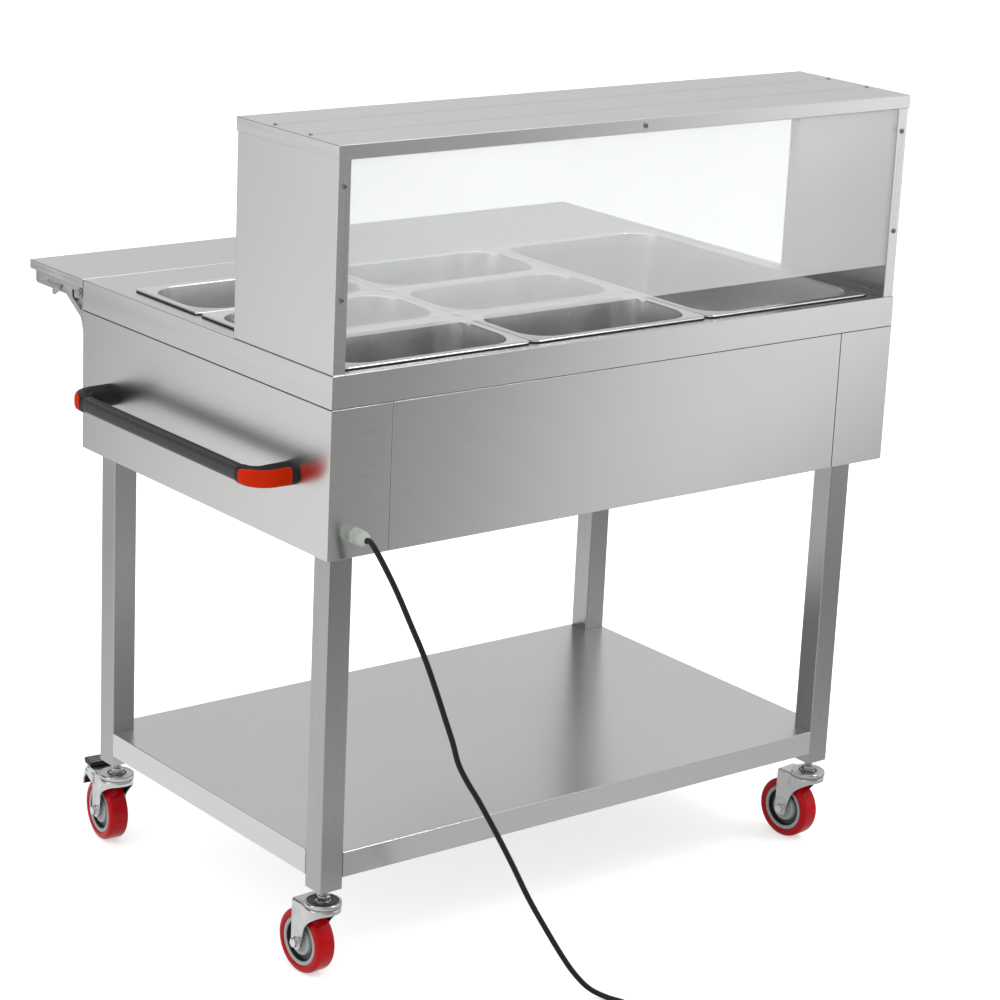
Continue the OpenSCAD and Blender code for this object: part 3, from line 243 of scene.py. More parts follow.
def moulded(name, colour, roughness, grain_scale, grain_depth, lighter, coat=0.0, gloss=0.3):
    """Moulded plastic: a fine pebbled grain, slight mottling, edges polished by hands."""
    made, tree, shader = new_material(name)
    pebble = noise(tree, grain_scale, 3)
    mottle = noise(tree, 25, 3)
    tone = mixed(tree, mottle, tint(colour, 0.85), tint(colour, 1.15))
    put(tree, shader, Base_Color=worn_edges(tree, tone, tint(colour, lighter)),
        Roughness=spread(tree, mottle, roughness - 0.04, roughness + 0.08), Coat_Weight=coat,
        Coat_Roughness=0.15, Specular_IOR_Level=gloss, Normal=bump(tree, pebble, 0.3, grain_depth))
    return made


def rolled_tread(name, colour):
    """Cast polyurethane: glossy, a little deeper in tone where it flexes, scuffed where it rolls."""
    made, tree, shader = new_material(name)
    scuff = noise(tree, 320, 4, (1, 1, 1), 0.7)
    cloud = noise(tree, 30, 3)
    tone = mixed(tree, cloud, tint(colour, 0.8), tint(colour, 1.12))
    scuffed = mixed(tree, ramp(tree, scuff, [(0.62, 0.0), (0.8, 0.35)]), tone, (0.2, 0.012, 0.012))
    put(tree, shader, Base_Color=scuffed, Roughness=spread(tree, scuff, 0.13, 0.2),
        Specular_IOR_Level=0.18, Normal=bump(tree, scuff, 0.05, 0.0001))
    return made


def clear_glass(name, reflection_share):
    """Tempered pane: clear, with a bright even white layer over it that is a painted reflection. A ray passes two
    of its faces.
    """
    made, tree, shader = new_material(name)
    reflection_noise = noise(tree, 2.5, 3)
    put(tree, shader, Base_Color=(0.96, 0.985, 0.975, 1), Roughness=0.02, IOR=1.45,
        Transmission_Weight=1.0)
    clear = add(tree, "BsdfTransparent", inputs={"Color": (0.97, 0.985, 0.98, 1)})
    reflection_translucent = add(tree, "BsdfTranslucent", inputs={"Color": (0.96, 0.965, 0.965, 1)})
    reflection_diffuse = add(tree, "BsdfDiffuse", inputs={"Color": (0.96, 0.965, 0.965, 1)})
    # Painted reflection: a white translucent and diffuse layer laid over the clear glass
    both = blend(tree, 0.5, reflection_translucent.outputs[0], reflection_diffuse.outputs[0])
    sheen = blend(tree, 0.06, clear.outputs[0], shader.outputs[0])
    with_painted_reflection = blend(tree, spread(tree, reflection_noise, reflection_share - 0.015, reflection_share + 0.015), sheen, both)
    tree.links.new(with_painted_reflection, tree.nodes["Material Output"].inputs["Surface"])
    return made


# Steels and zincs: colour, roughness, then grain and contrast, or the tone of the spots. Plastics:
# colour, roughness, scale and depth of the grain, how much lighter the edges are, coat, gloss.
looks = {
    "sheet_x": (brushed_steel, (0.70, 0.70, 0.695), 0.23, "x"),
    "sheet_y": (brushed_steel, (0.70, 0.70, 0.695), 0.23, "level"),
    "leg_tube": (brushed_steel, (0.48, 0.48, 0.475), 0.30, "z", 0.16),
    "pan_steel": (satin_steel, (0.80, 0.80, 0.80), 0.25),
    "tank_steel": (brushed_steel, (0.5, 0.5, 0.5), 0.42, "x", 0.08),
    "inner_steel": (zinc_plate, (0.5, 0.51, 0.52), 0.45, 0.8),
    "bracket_zinc": (zinc_plate, (0.52, 0.52, 0.525), 0.28, 0.8),
    "zinc": (zinc_plate, (0.64, 0.64, 0.645), 0.18, 0.8),
    "chrome_zinc": (zinc_plate, (0.56, 0.56, 0.565), 0.12, 0.85),
    "screw_steel": (zinc_plate, (0.26, 0.26, 0.27), 0.28, 0.8),
    # Glass: share of the painted reflection over the pane
    "glass": (clear_glass, 0.33),
    "handle_black": (moulded, (0.012, 0.0125, 0.014), 0.42, 1400, 0.00006, 1.8),
    "handle_bar": (moulded, (0.026, 0.0265, 0.029), 0.36, 900, 0.00004, 1.5, 0.05),
    "cap_orange": (moulded, (0.50, 0.018, 0.0008), 0.3, 300, 0.00001, 2.0, 0.0, 0.05),
    "gland_grey": (moulded, (0.42, 0.46, 0.42), 0.4, 700, 0.00005, 1.15),
    "cord_black": (moulded, (0.008, 0.008, 0.009), 0.42, 500, 0.00008, 1.4),
    "black_plastic": (moulded, (0.02, 0.02, 0.021), 0.3, 900, 0.00004, 1.8, 0.2),
    # Black for painted shade: in the seams, under the pans' rims and inside the forks
    "seam_black": (moulded, (0.02, 0.02, 0.021), 0.7, 900, 0.00004, 1.2, 0.0, 0.1),
    "white_plastic": (moulded, (0.62, 0.62, 0.58), 0.4, 700, 0.00004, 1.1),
    "lamp_amber": (moulded, (0.75, 0.22, 0.02), 0.12, 200, 0.00001, 1.2, 0.6),
    "heater_steel": (zinc_plate, (0.26, 0.24, 0.22), 0.4, 0.7),
    "brass": (zinc_plate, (0.62, 0.44, 0.17), 0.3, 0.8),
    "lever_red": (moulded, (0.5, 0.02, 0.015), 0.3, 500, 0.00004, 1.4, 0.3),
    "core_grey": (moulded, (0.32, 0.34, 0.33), 0.38, 600, 0.00005, 1.3),
    "tread_red": (rolled_tread, (0.42, 0.0015, 0.005)),
    "rib_grey": (moulded, (0.22, 0.22, 0.22), 0.3, 900, 0.00004, 2.0),
    "pedal_black": (moulded, (0.02, 0.02, 0.02), 0.45, 900, 0.00008, 2.0),
}
materials = {name: make(name, *values) for name, (make, *values) in looks.items()}


# Mesh building

def mesh_data(name, mesh):
    """A mesh as data for an object; the mesh itself is freed."""
    data = bpy.data.meshes.new(name)
    mesh.to_mesh(data)
    mesh.free()
    return data


class Shape:
    """Collects closed forms, drawn in millimetres, into one mesh."""

    def __init__(self, place=None):
        self.mesh = bmesh.new()
        self.place = place or Matrix.Identity(4)

    def points(self, coords):
        return [self.mesh.verts.new((self.place @ Vector(c)) * MM) for c in coords]

    def loft(self, rings, closed=False):
        """Skin through rings of equal count; closed joins the last ring to the first."""
        made = [self.points(r) for r in rings]
        n = len(made[0])
        pairs = list(zip(made, made[1:])) + ([(made[-1], made[0])] if closed else [])
        for a, b in pairs:
            for i in range(n):
                self.mesh.faces.new((a[i], a[(i + 1) % n], b[(i + 1) % n], b[i]))
        if not closed:
            self.mesh.faces.new(list(reversed(made[0])))
            self.mesh.faces.new(made[-1])

    def lathe(self, profile, steps=64, turn=None):
        """Revolves (radius, height) pairs about Z. A profile that starts and ends at radius 0 is a
        solid, any other is closed onto itself as a ring."""
        turn = turn or Matrix.Identity(4)
        solid = profile[0][0] == 0 and profile[-1][0] == 0
        inner = profile[1:-1] if solid else profile
        rings = []
        for k in range(steps):
            a = 2 * math.pi * k / steps
            rings.append([turn @ Vector((r * math.cos(a), r * math.sin(a), h)) for r, h in inner])
        made = [self.points(r) for r in rings]
        n = len(inner)
        for k in range(steps):
            a, b = made[k], made[(k + 1) % steps]
            for i in range(n - 1 if solid else n):
                self.mesh.faces.new((a[i], b[i], b[(i + 1) % n], a[(i + 1) % n]))
        if solid:
            for end, i, flip in ((profile[0], 0, True), (profile[-1], n - 1, False)):
                tip = self.points([turn @ Vector((0, 0, end[1]))])[0]
                for k in range(steps):
                    a, b = made[k][i], made[(k + 1) % steps][i]
                    self.mesh.faces.new((tip, b, a) if flip else (tip, a, b))

    def prism(self, outline, low, high):
        """Extrudes an outline in X and Y from low to high."""
        self.loft([level(outline, z) for z in (low, high)])

    def side(self, outline, low, high):
        """Extrudes an outline in Y and Z along X."""
        self.loft([[(x, y, z) for y, z in outline] for x in (low, high)])

    def finish(self, name, material, node=None, **choices):
        """Makes the piece."""
        bmesh.ops.recalc_face_normals(self.mesh, faces=self.mesh.faces)
        return finished(name, mesh_data(name, self.mesh), material, node, **choices)


def finished(name, data, material, node=None, body="root", slot=None, bevel=0.0, segments=2, angle=35,
             weighted=False, flat=False):
    """Makes a piece: shading, rounded edges, material and body. One that replaces a node
    has the node's body."""
    made = new_object(name, data)
    data.materials.clear()
    data.materials.append(materials[material])
    for face in data.polygons:
        face.use_smooth = not flat
        face.material_index = 0
    if bevel:
        edge = made.modifiers.new("edges", "BEVEL")
        edge.width = bevel * MM
        edge.segments = segments
        edge.limit_method = "WEIGHT" if weighted else "ANGLE"
        edge.angle_limit = math.radians(angle)
        edge.miter_outer = "MITER_ARC"
        if not flat:
            made.modifiers.new("normals", "WEIGHTED_NORMAL").keep_sharp = True
    else:
        data.set_sharp_from_angle(angle=math.radians(angle))
    if node:
        body, slot = body_of_node[node], slot_of_node[node]
    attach(made, body)
    if node:
        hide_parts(node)
    return made


def merge_flat(mesh):
    """Joins the triangles of each flat face into one polygon, unless the face has a hole."""
    in_plane = 0.001
    seen, inner = set(), set()
    for start in mesh.faces:
        if start in seen:
            continue
        seen.add(start)
        region, queue = [], [start]
        while queue:
            face = queue.pop()
            region.append(face)
            for edge in face.edges:
                for other in edge.link_faces:
                    if other not in seen and edge.calc_face_angle(1) < in_plane:
                        seen.add(other)
                        queue.append(other)
        verts = {v for f in region for v in f.verts}
        edges = {e for f in region for e in f.edges}
        if len(verts) - len(edges) + len(region) == 1:
            inner |= {e for e in edges if e.calc_face_angle(1) < in_plane}
    bmesh.ops.dissolve_edges(mesh, edges=[e for e in mesh.edges if e in inner])


def sheet_copy(node, material, fold=0.9, cut=0.25, flat=True):
    """A CAD sheet with its folds rounded and its cut edges broken."""
    data = frame["nodes"][node].data.copy()
    mesh = bmesh.new()
    mesh.from_mesh(data)
    bmesh.ops.remove_doubles(mesh, verts=mesh.verts, dist=1e-6)
    merge_flat(mesh)
    low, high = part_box(node)
    close, sharp = 1e-5, math.radians(30)
    weight = mesh.edges.layers.float.new("bevel_weight_edge")
    for edge in mesh.edges:
        if len(edge.link_faces) != 2 or edge.calc_face_angle(0) < sharp:
            continue
        outside = 0
        for axis in range(3):
            ends = [v.co[axis] for v in edge.verts]
            for limit in (low[axis], high[axis]):
                outside += all(abs(e - limit) < close for e in ends)
        edge[weight] = 1.0 if outside >= 2 else cut / fold
    mesh.to_mesh(data)
    mesh.free()
    finished(node + "_formed", data, material, node, bevel=fold, segments=3 if flat else 2,
             weighted=True, flat=flat)


def rectangle(x, y):
    """Corners of a rectangle between two values of X and two of Y."""
    return [(x[0], y[0]), (x[1], y[0]), (x[1], y[1]), (x[0], y[1])]


def level(outline, z):
    """An outline in X and Y, lifted to a height."""
    return [(x, y, z) for x, y in outline]


def rounded_rectangle(length, width, inset, radius, steps):
    """Ring of points round a rectangle with round corners, centred on the origin."""
    x, y = length / 2 - inset - radius, width / 2 - inset - radius
    ring = []
    for quarter, (sx, sy) in enumerate(((1, 1), (-1, 1), (-1, -1), (1, -1))):
        ring += arc(sx * x, sy * y, radius, 90 * quarter, 90 * quarter + 90, steps)
    return ring


def arc(cx, cy, r, start, end, steps):
    """Points of an arc in degrees, with both ends."""
    angles = [math.radians(start + (end - start) * i / steps) for i in range(steps + 1)]
    return [(cx + r * math.cos(a), cy + r * math.sin(a)) for a in angles]


def lifted(profile, height):
    """A profile of (radius, height) pairs, drawn from a height."""
    return [(r, height + h) for r, h in profile]


def mirrored(profile):
    """A profile above the middle plane, closed by its mirror image below."""
    return profile + [(r, -h) for r, h in reversed(profile)]


def hexagon(across_corners, turn=0):
    """Corners of a regular hexagon, turned by some degrees."""
    return arc(0, 0, across_corners / 2, turn, turn + 300, 5)


def superellipse(width, height, count, power=0.65, grow=0.0):
    """Ring between an ellipse and a rectangle, pushed outwards by grow."""
    return [swell(2 * math.pi * i / count, width, height, grow, power) for i in range(count)]


def swell(a, width, height, grow=0.0, power=0.65):
    """One point of a superellipse, at an angle."""
    c, s = math.cos(a), math.sin(a)
    return ((width / 2 + grow) * math.copysign(abs(c) ** power, c),
            (height / 2 + grow) * math.copysign(abs(s) ** power, s))


def facing(direction):
    """Rotation that takes Z to a direction."""
    return Vector(direction).to_track_quat("Z", "Y").to_matrix().to_4x4()


def aimed(place, direction):
    """Frame at a place with its Z along a direction."""
    return Matrix.Translation(place) @ facing(direction)


# Mains cord: the free route and the coil repeat the source's, measured from the deck's corner

cord_d = 0.008
cord_r = cord_d / 2
route = [
    (0.045, -0.028, 0.666), (0.045, -0.037, 0.666), (0.053, -0.048, 0.646), (0.072, -0.060, 0.602),
    (0.087, -0.075, 0.556), (0.102, -0.090, 0.509), (0.115, -0.100, 0.465), (0.127, -0.110, 0.420),
    (0.135, -0.118, 0.388), (0.141, -0.125, 0.358), (0.152, -0.132, 0.332), (0.166, -0.139, 0.306),
    (0.180, -0.147, 0.277), (0.194, -0.155, 0.247), (0.211, -0.166, 0.208), (0.232, -0.179, 0.158),
    (0.256, -0.190, 0.111), (0.281, -0.200, 0.066), (0.300, -0.208, 0.036), (0.318, -0.220, 0.014),
    (0.334, -0.240, 0.0046), (0.345, -0.266, 0.004), (0.350, -0.296, 0.004), (0.350, -0.318, 0.004),
    (0.350, -0.330, 0.004),
]
route_steps = 6
coil_centre = (0.300, -0.330)
coil_pitch = cord_d + 0.0006
coil_turns = 1.5
coil_mid_r = 0.0435
coil_steps = 48


def smooth_path(points, steps):
    """Smooth curve through the points, each stretch cut into steps."""
    path = [Vector(p) for p in points]
    first, last = 2 * path[0] - path[1], 2 * path[-1] - path[-2]
    ends = [first, *path, last]
    made = []
    for p0, p1, p2, p3 in zip(ends, ends[1:], ends[2:], ends[3:]):
        for s in range(steps):
            t = s / steps
            made.append(0.5 * (2 * p1 + (p2 - p0) * t + (2 * p0 - 5 * p1 + 4 * p2 - p3) * t * t
                               + (3 * p1 - p0 - 3 * p2 + p3) * t * t * t))
    return made + [path[-1]]


def coil_point(turn):
    """A point of the coil: it spirals in, climbs a layer in half a turn and spirals out again."""
    half = coil_turns + 0.25
    outer = coil_mid_r + coil_pitch * coil_turns / 2
    r = outer - coil_pitch * (turn if turn < half else 2 * half - turn)
    climb = min(1, max(0, (turn - coil_turns) / 0.5))
    height = cord_r + coil_pitch * climb * climb * (3 - 2 * climb)
    a = 2 * math.pi * turn
    return Vector((coil_centre[0] + r * math.cos(a), coil_centre[1] - r * math.sin(a), height))


def cord_line():
    """The cord's middle line from the gland to the plug, in the row frame."""
    turns = 2 * coil_turns + 0.5
    count = round(coil_steps * turns)
    coil = [coil_point(turns * i / count) for i in range(count + 1)]
    plug = coil[-1] + Vector((0, cord_d, 0))
    return [p + deck_corner for p in smooth_path(route, route_steps)[:-1] + coil + [plug]]


def make_cord(path):
    """The round cord along its path in metres."""
    data = bpy.data.curves.new("mains_cord", "CURVE")
    data.dimensions = "3D"
    data.bevel_depth = cord_r
    data.bevel_resolution = 6
    data.use_fill_caps = True
    spline = data.splines.new("POLY")
    spline.points.add(len(path) - 1)
    for point, place in zip(spline.points, path):
        point.co = (*place, 1)
    data.materials.append(materials["cord_black"])
    made = new_object("mains_cord", data)
    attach(made, "root")
    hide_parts("power_cord", "cord_coil")
    return made


def make_gland(start):
    """Gland on the end panel: fixed hexagon, ribbed clamping cap and tapered strain relief."""
    shape = Shape(aimed(start, (0, -1, 0)))
    shape.prism(hexagon(26, 30), 0, 7)
    shape.lathe([(4.5, 6), (10, 6), (10, 10.5), (4.5, 10.5)])
    ribs, rib_steps, groove = 12, 6, 0.5
    cap = []
    for height, radius in ((10, 10.4), (10.6, 11), (17.5, 11), (18.5, 10.6)):
        ring = []
        for i in range(ribs * rib_steps):
            a = 2 * math.pi * i / (ribs * rib_steps)
            r = radius - (groove if i % rib_steps in (0, rib_steps - 1) else 0.0)
            ring.append((r * math.cos(a), r * math.sin(a), height))
        cap.append(ring)
    shape.loft(cap)
    dome = [(4.2, 18.4), (10.4, 18.4), (10.2, 20.4), (9.2, 23), (7.6, 25.4), (6.4, 27), (5.4, 28),
            (4.2, 28)]
    shape.lathe(dome)
    shape.place = aimed(start, (0, 1, 0))
    shape.lathe([(4.2, -0.5), (7.9, -0.5), (7.9, 8), (4.2, 8)])
    shape.prism(hexagon(22), 1.2, 5.2)
    return shape.finish("gland_ribbed", "gland_grey", "cable_gland", bevel=0.3)


def make_plug(start):
    """Moulded plug: ribbed neck, waisted body, two blades and a round earth pin."""
    shape = Shape(aimed(start, (0, 1, 0)))
    neck = []
    ribs, neck_l, rib_l, groove = 12, 22, 0.9, 0.7
    for i in range(ribs):
        size = 9.4 + 7.5 * (i / (ribs - 1)) ** 1.4 - (groove if i % 2 else 0.0)
        for step in (0, rib_l):
            neck.append(level(superellipse(size, size, 40, 1), neck_l * i / ribs + step))
    shape.loft(neck)
    body = []
    for depth, width, height, power in (
            (21, 17, 17, 0.9), (23, 24, 21, 0.75), (26, 28.5, 24, 0.6), (32, 29.5, 24.8, 0.5),
            (38, 27.5, 23.4, 0.5), (44, 29.6, 24.8, 0.45), (47.4, 29.8, 25, 0.4), (48, 29, 24.2, 0.4)):
        body.append(level(superellipse(width, height, 56, power), depth))
    shape.loft(body)
    plug = shape.finish("plug_moulded", "black_plastic", "power_plug", bevel=0.25)
    pins = Shape(aimed(start, (0, 1, 0)))
    for x in (-6.35, 6.35):
        blade = rectangle((x - 0.8, x + 0.8), (-0.4, 6))
        tip = rectangle((x - 0.4, x + 0.4), (0.6, 5))
        pins.loft([level(blade, 47.5), level(blade, 63.4), level(tip, 65)])
    earth = Matrix.Translation((0, -7, 0))
    pins.lathe([(0, 47.5), (2.4, 47.5), (2.4, 65), (1.7, 66.4), (0, 67)], 24, earth)
    pins.finish("plug_pins", "brass", slot="brass", bevel=0.15)
    return plug


cord_path = cord_line()
cord = make_cord(cord_path)
gland_l = 0.028
gland = make_gland((cord_path[0] + Vector((0, gland_l, 0))) / MM)
plug = make_plug(cord_path[-1] / MM)


# Sheet bodies

for name in ("deck_top", "rear_panel", "control_panel", "bottom_cover", "undershelf",
             "guard_top_shelf", "leaf_board"):
    sheet_copy(name, "sheet_x")
for name in ("end_panel_left", "end_panel_right", "guard_side_left", "guard_side_right"):
    sheet_copy(name, "sheet_y")
sheet_copy("legs", "leg_tube", 0.3, 0.3)
sheet_copy("water_tank", "tank_steel")
sheet_copy("pan_dividers", "tank_steel")
sheet_copy("base_frame", "inner_steel")
for name in ("leaf_wall_rails", "leaf_rails", "brace_left", "brace_right", "release_tab_left",
             "release_tab_right"):
    sheet_copy(name, "bracket_zinc", 0.3, 0.3)
for name in ("heating_element", "drain_valve", "drain_lever", "thermostat_body", "indicator_lamp",
             "switch_frame", "switch_rocker", "thermostat_knob"):
    sheet_copy(name, slot_of_node[name], 0.4, 0.4, flat=False)


def make_pane():
    """The glass, with ground edges; the screw heads cover its holes."""
    low, high = box_mm("guard_glass")
    pane = Shape()
    pane.prism(rectangle((low.x, high.x), (low.y, high.y)), low.z, high.z)
    pane.finish("guard_glass_pane", "glass", "guard_glass", bevel=0.6, segments=3)


make_pane()


# Painted shade: dark strips in the seams between the panels, under the deck's skirt and between deck and leaf

def make_seam_shade():
    """Black strips behind the joints of the sheets, painted shade in the gaps where the eye sees no ground."""
    left, near = deck_low.x / MM, deck_low.y / MM
    right, far = deck_high.x / MM, deck_high.y / MM
    low, high = box_mm("rear_panel")
    seam, inset, deep, wide = 0.8, 0.3, 1.1, 4
    leaf_gap, leaf_depth = (0.1, 2.1), (12, 1.6)
    strips = Shape()

    def strip(x, y, z):
        strips.prism(rectangle(x, y), *z)

    for x in (low.x - seam, high.x):
        for y in ((near + inset, near + deep), (far - deep, far - inset)):
            strip((x, x + seam), y, (low.z + 1.5, high.z))
    under = (high.z, high.z + seam)
    for y in ((near + inset, near + wide), (far - wide, far - inset)):
        strip((left + inset, right - inset), y, under)
    for x in ((left + inset, left + wide), (right - wide, right - inset)):
        strip(x, (near + wide, far - wide), under)
    deck_z = deck_high.z / MM
    strip((left + 0.5, right - 0.5), [far + y for y in leaf_gap], [deck_z - z for z in leaf_depth])
    strips.finish("seam_shade_strips", "seam_black", slot="black_plastic")


make_seam_shade()


# Pans

rim_r = 13
corner_steps = 12


def loft_round(shape, node, rings, height=0, closed=False):
    """Lofts rings about a pan's middle: each is its inset from the rim, corner radius and height."""
    low, high = box_mm(node)
    centre = (low + high) / 2
    shape.place = Matrix.Translation((centre.x, centre.y, height))
    shape.loft([level(rounded_rectangle(high.x - low.x, high.y - low.y, inset, r, corner_steps), z)
                for inset, r, z in rings], closed)


def make_pan(node):
    """Deep-drawn pan: rolled rim edge, flat with a shallow step, round mouth and radiused floor."""
    low, high = box_mm(node)
    top = high.z
    depth = high.z - low.z
    sheet, lip, taper = 1.0, 4, 6
    mouth_r, mouth_in, lean, floor_r = 46, 13.5, 9, 20
    roll, flat, over = 2.6, 0.5, 2.2

    def skin(t):
        """Rings (inset, corner radius, height) of the upper skin, or t below it."""
        rings = [(t, rim_r - t, top - lip)]
        for x, z in arc(roll, -roll, roll, 180, 90, 5):
            inset = t + x * (1 - t / roll)
            rings.append((inset, rim_r - inset, top + z - t * (x / roll)))
        rings.append((roll + 1.6, rim_r - roll - 1.6, top - t))
        rings.append((roll + 2.6, rim_r - roll - 2.6, top - flat - t))
        wall = mouth_in - t
        for x, z in arc(-over, -over, over, 90, 0, 5):
            inset = wall + x
            rings.append((inset, mouth_r - x, top - flat - t * (1 - (x + over) / over) + z))
        drop = depth - lip - floor_r
        steps = 6
        for i in range(1, steps + 1):
            k = i / steps
            rings.append((wall + lean * k, mouth_r - taper * k, top - lip - drop * k))
        for x, z in arc(floor_r, 0, floor_r + t, 180, 270, 7)[1:]:
            inset = wall + lean + (x + t) * floor_r / (floor_r + t)
            rings.append((inset, max(mouth_r - taper - (x + t), floor_r), low.z + sheet + floor_r + z))
        return rings

    shape = Shape()
    loft_round(shape, node, skin(sheet)[::-1] + skin(0))
    shape.finish(node + "_drawn", "pan_steel", node, angle=50)


def make_rim_shadows(pans):
    """A black bead on the deck round each pan's rim, painted shadow under the rim."""
    shadow_beads = Shape()
    section = [(0.45, 0.02), (0.45, 1.9), (0.3, 2.1), (0.12, 2.1), (0.12, 0.02)]
    rings = [(-out, rim_r + out, z) for out, z in section]
    for node in pans:
        loft_round(shadow_beads, node, rings, deck_high.z / MM, closed=True)
    shadow_beads.finish("rim_shadow_beads", "seam_black", slot="black_plastic", angle=50)


pans = sorted(n for n in frame["nodes"] if n.startswith("pan_") and n != "pan_dividers")
for name in pans:
    make_pan(name)
make_rim_shadows(pans)


# Screws: button heads with a crossed recess

def make_screws():
    """The guard's screws, placed from the deck's corner; those on top sit nearly flush."""
    heads = Shape()
    post_x = (11.5, 1028.5)
    left, near = deck_low.x / MM, deck_low.y / MM
    deck_z = deck_high.z / MM
    shelf_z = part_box("guard_top_shelf")[1].z / MM
    places = [((x, 1.5, deck_z + z), (0, -1, 0)) for x in post_x for z in (102, 254)]
    places += [((x, y, shelf_z), (0, 0, 1)) for x in post_x for y in (82, 165)]
    places += [((x, y, deck_z + 1.2), (0, 0, 1)) for x in post_x for y in (55, 190)]
    places += [((sum(post_x) / 2, 0, shelf_z - 10), (0, -1, 0))]
    for place, out in places:
        turn = aimed(Vector(place) + Vector((left, near, 0)), out)
        deep, size = (18, 1.0) if out[2] == 0 else (8, 0.75)
        profile = [(0, -deep), (2, -deep), (2, 0), (4, 0), (4, 0.5), (3.6, 1.3), (2.8, 2.0),
                   (1.6, 2.35), (1.3, 1.2), (0, 1.2)]
        heads.lathe([(r * size, h * size if h > 0 else h) for r, h in profile], 32, turn)
    heads.finish("guard_screws", "screw_steel", "panel_screws", bevel=0.1)


make_screws()


# Handle: widths and heights of the elbow where it meets the panel and the bar

foot_w, foot_h = 38, 31
end_w, end_h = 21.5, 24.5
cap_half_angle = 58
cap_round = 7
edge_grow = (-1.4, -0.15, 0.1)
bar_overlap = 4


def elbow_stations(count, reach):
    """Middle line of an elbow from the panel to the bar: point, outward side, width and height."""
    bend_r, tail = 25, 8
    stations = [((0, 0), (0, -1), foot_w, foot_h), ((-1.2, 0), (0, -1), foot_w, foot_h),
                ((-1.6, 0), (0, -1), foot_w - 0.8, foot_h - 0.8)]
    for i in range(5):
        stations.append(((-3.6 - 5.2 * i, 0), (0, -1), foot_w - 0.4 * i, foot_h - 0.2 * i))
    for i in range(count + 1):
        k = i / count
        a = math.pi / 2 * k
        size = min(1, k * 8 / 7)
        point = (bend_r - reach - bend_r * math.sin(a), bend_r * (1 - math.cos(a)))
        stations.append((point, (-math.sin(a), -math.cos(a)), foot_w - 2 + (end_w - foot_w + 2) * size,
                         foot_h - 1 - 2.5 * k))
    stations.append(((-reach, bend_r + tail * 0.6), (-1, 0), end_w, foot_h - 4.5))
    stations.append(((-reach, bend_r + tail - 1), (-1, 0), end_w, end_h))
    stations.append(((-reach, bend_r + tail), (-1, 0), end_w - 1.4, end_h - 1.4))
    return stations


def across(station, section):
    """Lays a section (outward, up) across the path at a station."""
    (x, y), (sx, sy), _, _ = station
    return [(x + sx * p, y + sy * p, q) for p, q in section]


def make_handle():
    """Two black elbows, an orange cap on each and the bar between them."""
    low, high = box_mm("handle_elbows")
    panel_x = deck_low.x / MM
    middle_z = (low.z + high.z) / 2
    bar_low, bar_high = box_mm("handle_bar")
    mid = (bar_low + bar_high) / 2
    stations = elbow_stations(16, panel_x - mid.x)
    elbows, caps = Shape(), Shape()
    for y, flip in ((low.y + foot_w / 2, 1), (high.y - foot_w / 2, -1)):
        place = Matrix.Translation((panel_x, y, middle_z)) @ Matrix.Diagonal((1, flip, 1, 1))
        elbows.place = caps.place = place
        elbows.loft([across(s, superellipse(s[2], s[3], 48, grow=-0.5)) for s in stations])
        covered = stations[3:-3]
        rings = []
        for k, s in enumerate(covered):
            left = len(covered) - 1 - k
            half = cap_half_angle * math.sqrt(1 - (1 - min(left + 0.4, cap_round) / cap_round) ** 2)
            grow = edge_grow[min(k, left, 2)]
            outer = []
            for i in range(21):
                a = math.radians(-half + 2 * half * i / 20)
                outer.append(swell(a, s[2], s[3], min(grow, edge_grow[min(i, 20 - i, 2)])))
            inner = [swell(math.radians(half - 2 * half * i / 4), s[2], s[3], -2.2) for i in range(5)]
            rings.append(across(s, outer + inner))
        caps.loft(rings)
    elbows.finish("handle_elbows_moulded", "handle_black", "handle_elbows", angle=40)
    caps.finish("handle_caps_moulded", "cap_orange", "handle_caps", angle=60)
    wide, tall = bar_high.x - bar_low.x, bar_high.z - bar_low.z
    bar = Shape(aimed((mid.x, 0, mid.z), (0, 1, 0)))
    bar.prism(superellipse(wide, tall, 56, 0.7), bar_low.y - bar_overlap, bar_high.y + bar_overlap)
    bar.finish("handle_bar_moulded", "handle_bar", "handle_bar", angle=50)


make_handle()


# Casters, drawn about their stems: the wheel trails towards +Y

axle_z = 48
trail = 34
fork_top = 113
fork_half = 20.5
fork_back = 45
fork_sheet = 2.5
head_r = 26
boss_r = 11
pin_y, pin_z = 68, 102
race = fork_top + 0.6


def caster_place(corner):
    """Stem's axis and the caster's turn, from the joints, in millimetres."""
    stem = Vector(joints["swivel_" + corner]["pos_m"]) / MM
    axle = Vector(joints["roll_" + corner]["axis"])
    return Matrix.Translation((stem.x, stem.y, 0)) @ Matrix.Rotation(math.atan2(axle.y, axle.x), 4, "Z")


def fork_outline():
    """Half of the fork seen from above, from the front round one side to the back: (x, y)."""
    half = arc(0, 0, head_r, -90, 10, 10)
    bend = [half[-1], (24.6, 13), (fork_half + 0.4, 19), (fork_half, 27)]
    for i in range(1, 9):
        t = i / 8
        u = 1 - t
        half.append(tuple(u ** 3 * bend[0][k] + 3 * u * u * t * bend[1][k] + 3 * u * t * t * bend[2][k]
                          + t ** 3 * bend[3][k] for k in (0, 1)))
    back = (28, 29.5, 31, 32.5, 34, 36, 38, 40, 42, 43.5, 44.5, fork_back)
    return half + [(fork_half, y) for y in back]


def fork_low(y):
    """Height of the fork's lower edge where it is y behind the stem."""
    if y > trail - boss_r:
        return axle_z - math.sqrt(max(0, boss_r ** 2 - (y - trail) ** 2))
    edge = [(-26, 105.2), (-20, 104), (-14, 101), (-8, 97), (-2, 92.8), (5, 86.5), (10, 80.6),
            (14, 73.5), (17, 66.8), (20, 58.5), (23, 48)]
    for (y0, z0), (y1, z1) in zip(edge, edge[1:]):
        if y <= y1:
            return z0 + (z1 - z0) * (y - y0) / (y1 - y0)
    return axle_z


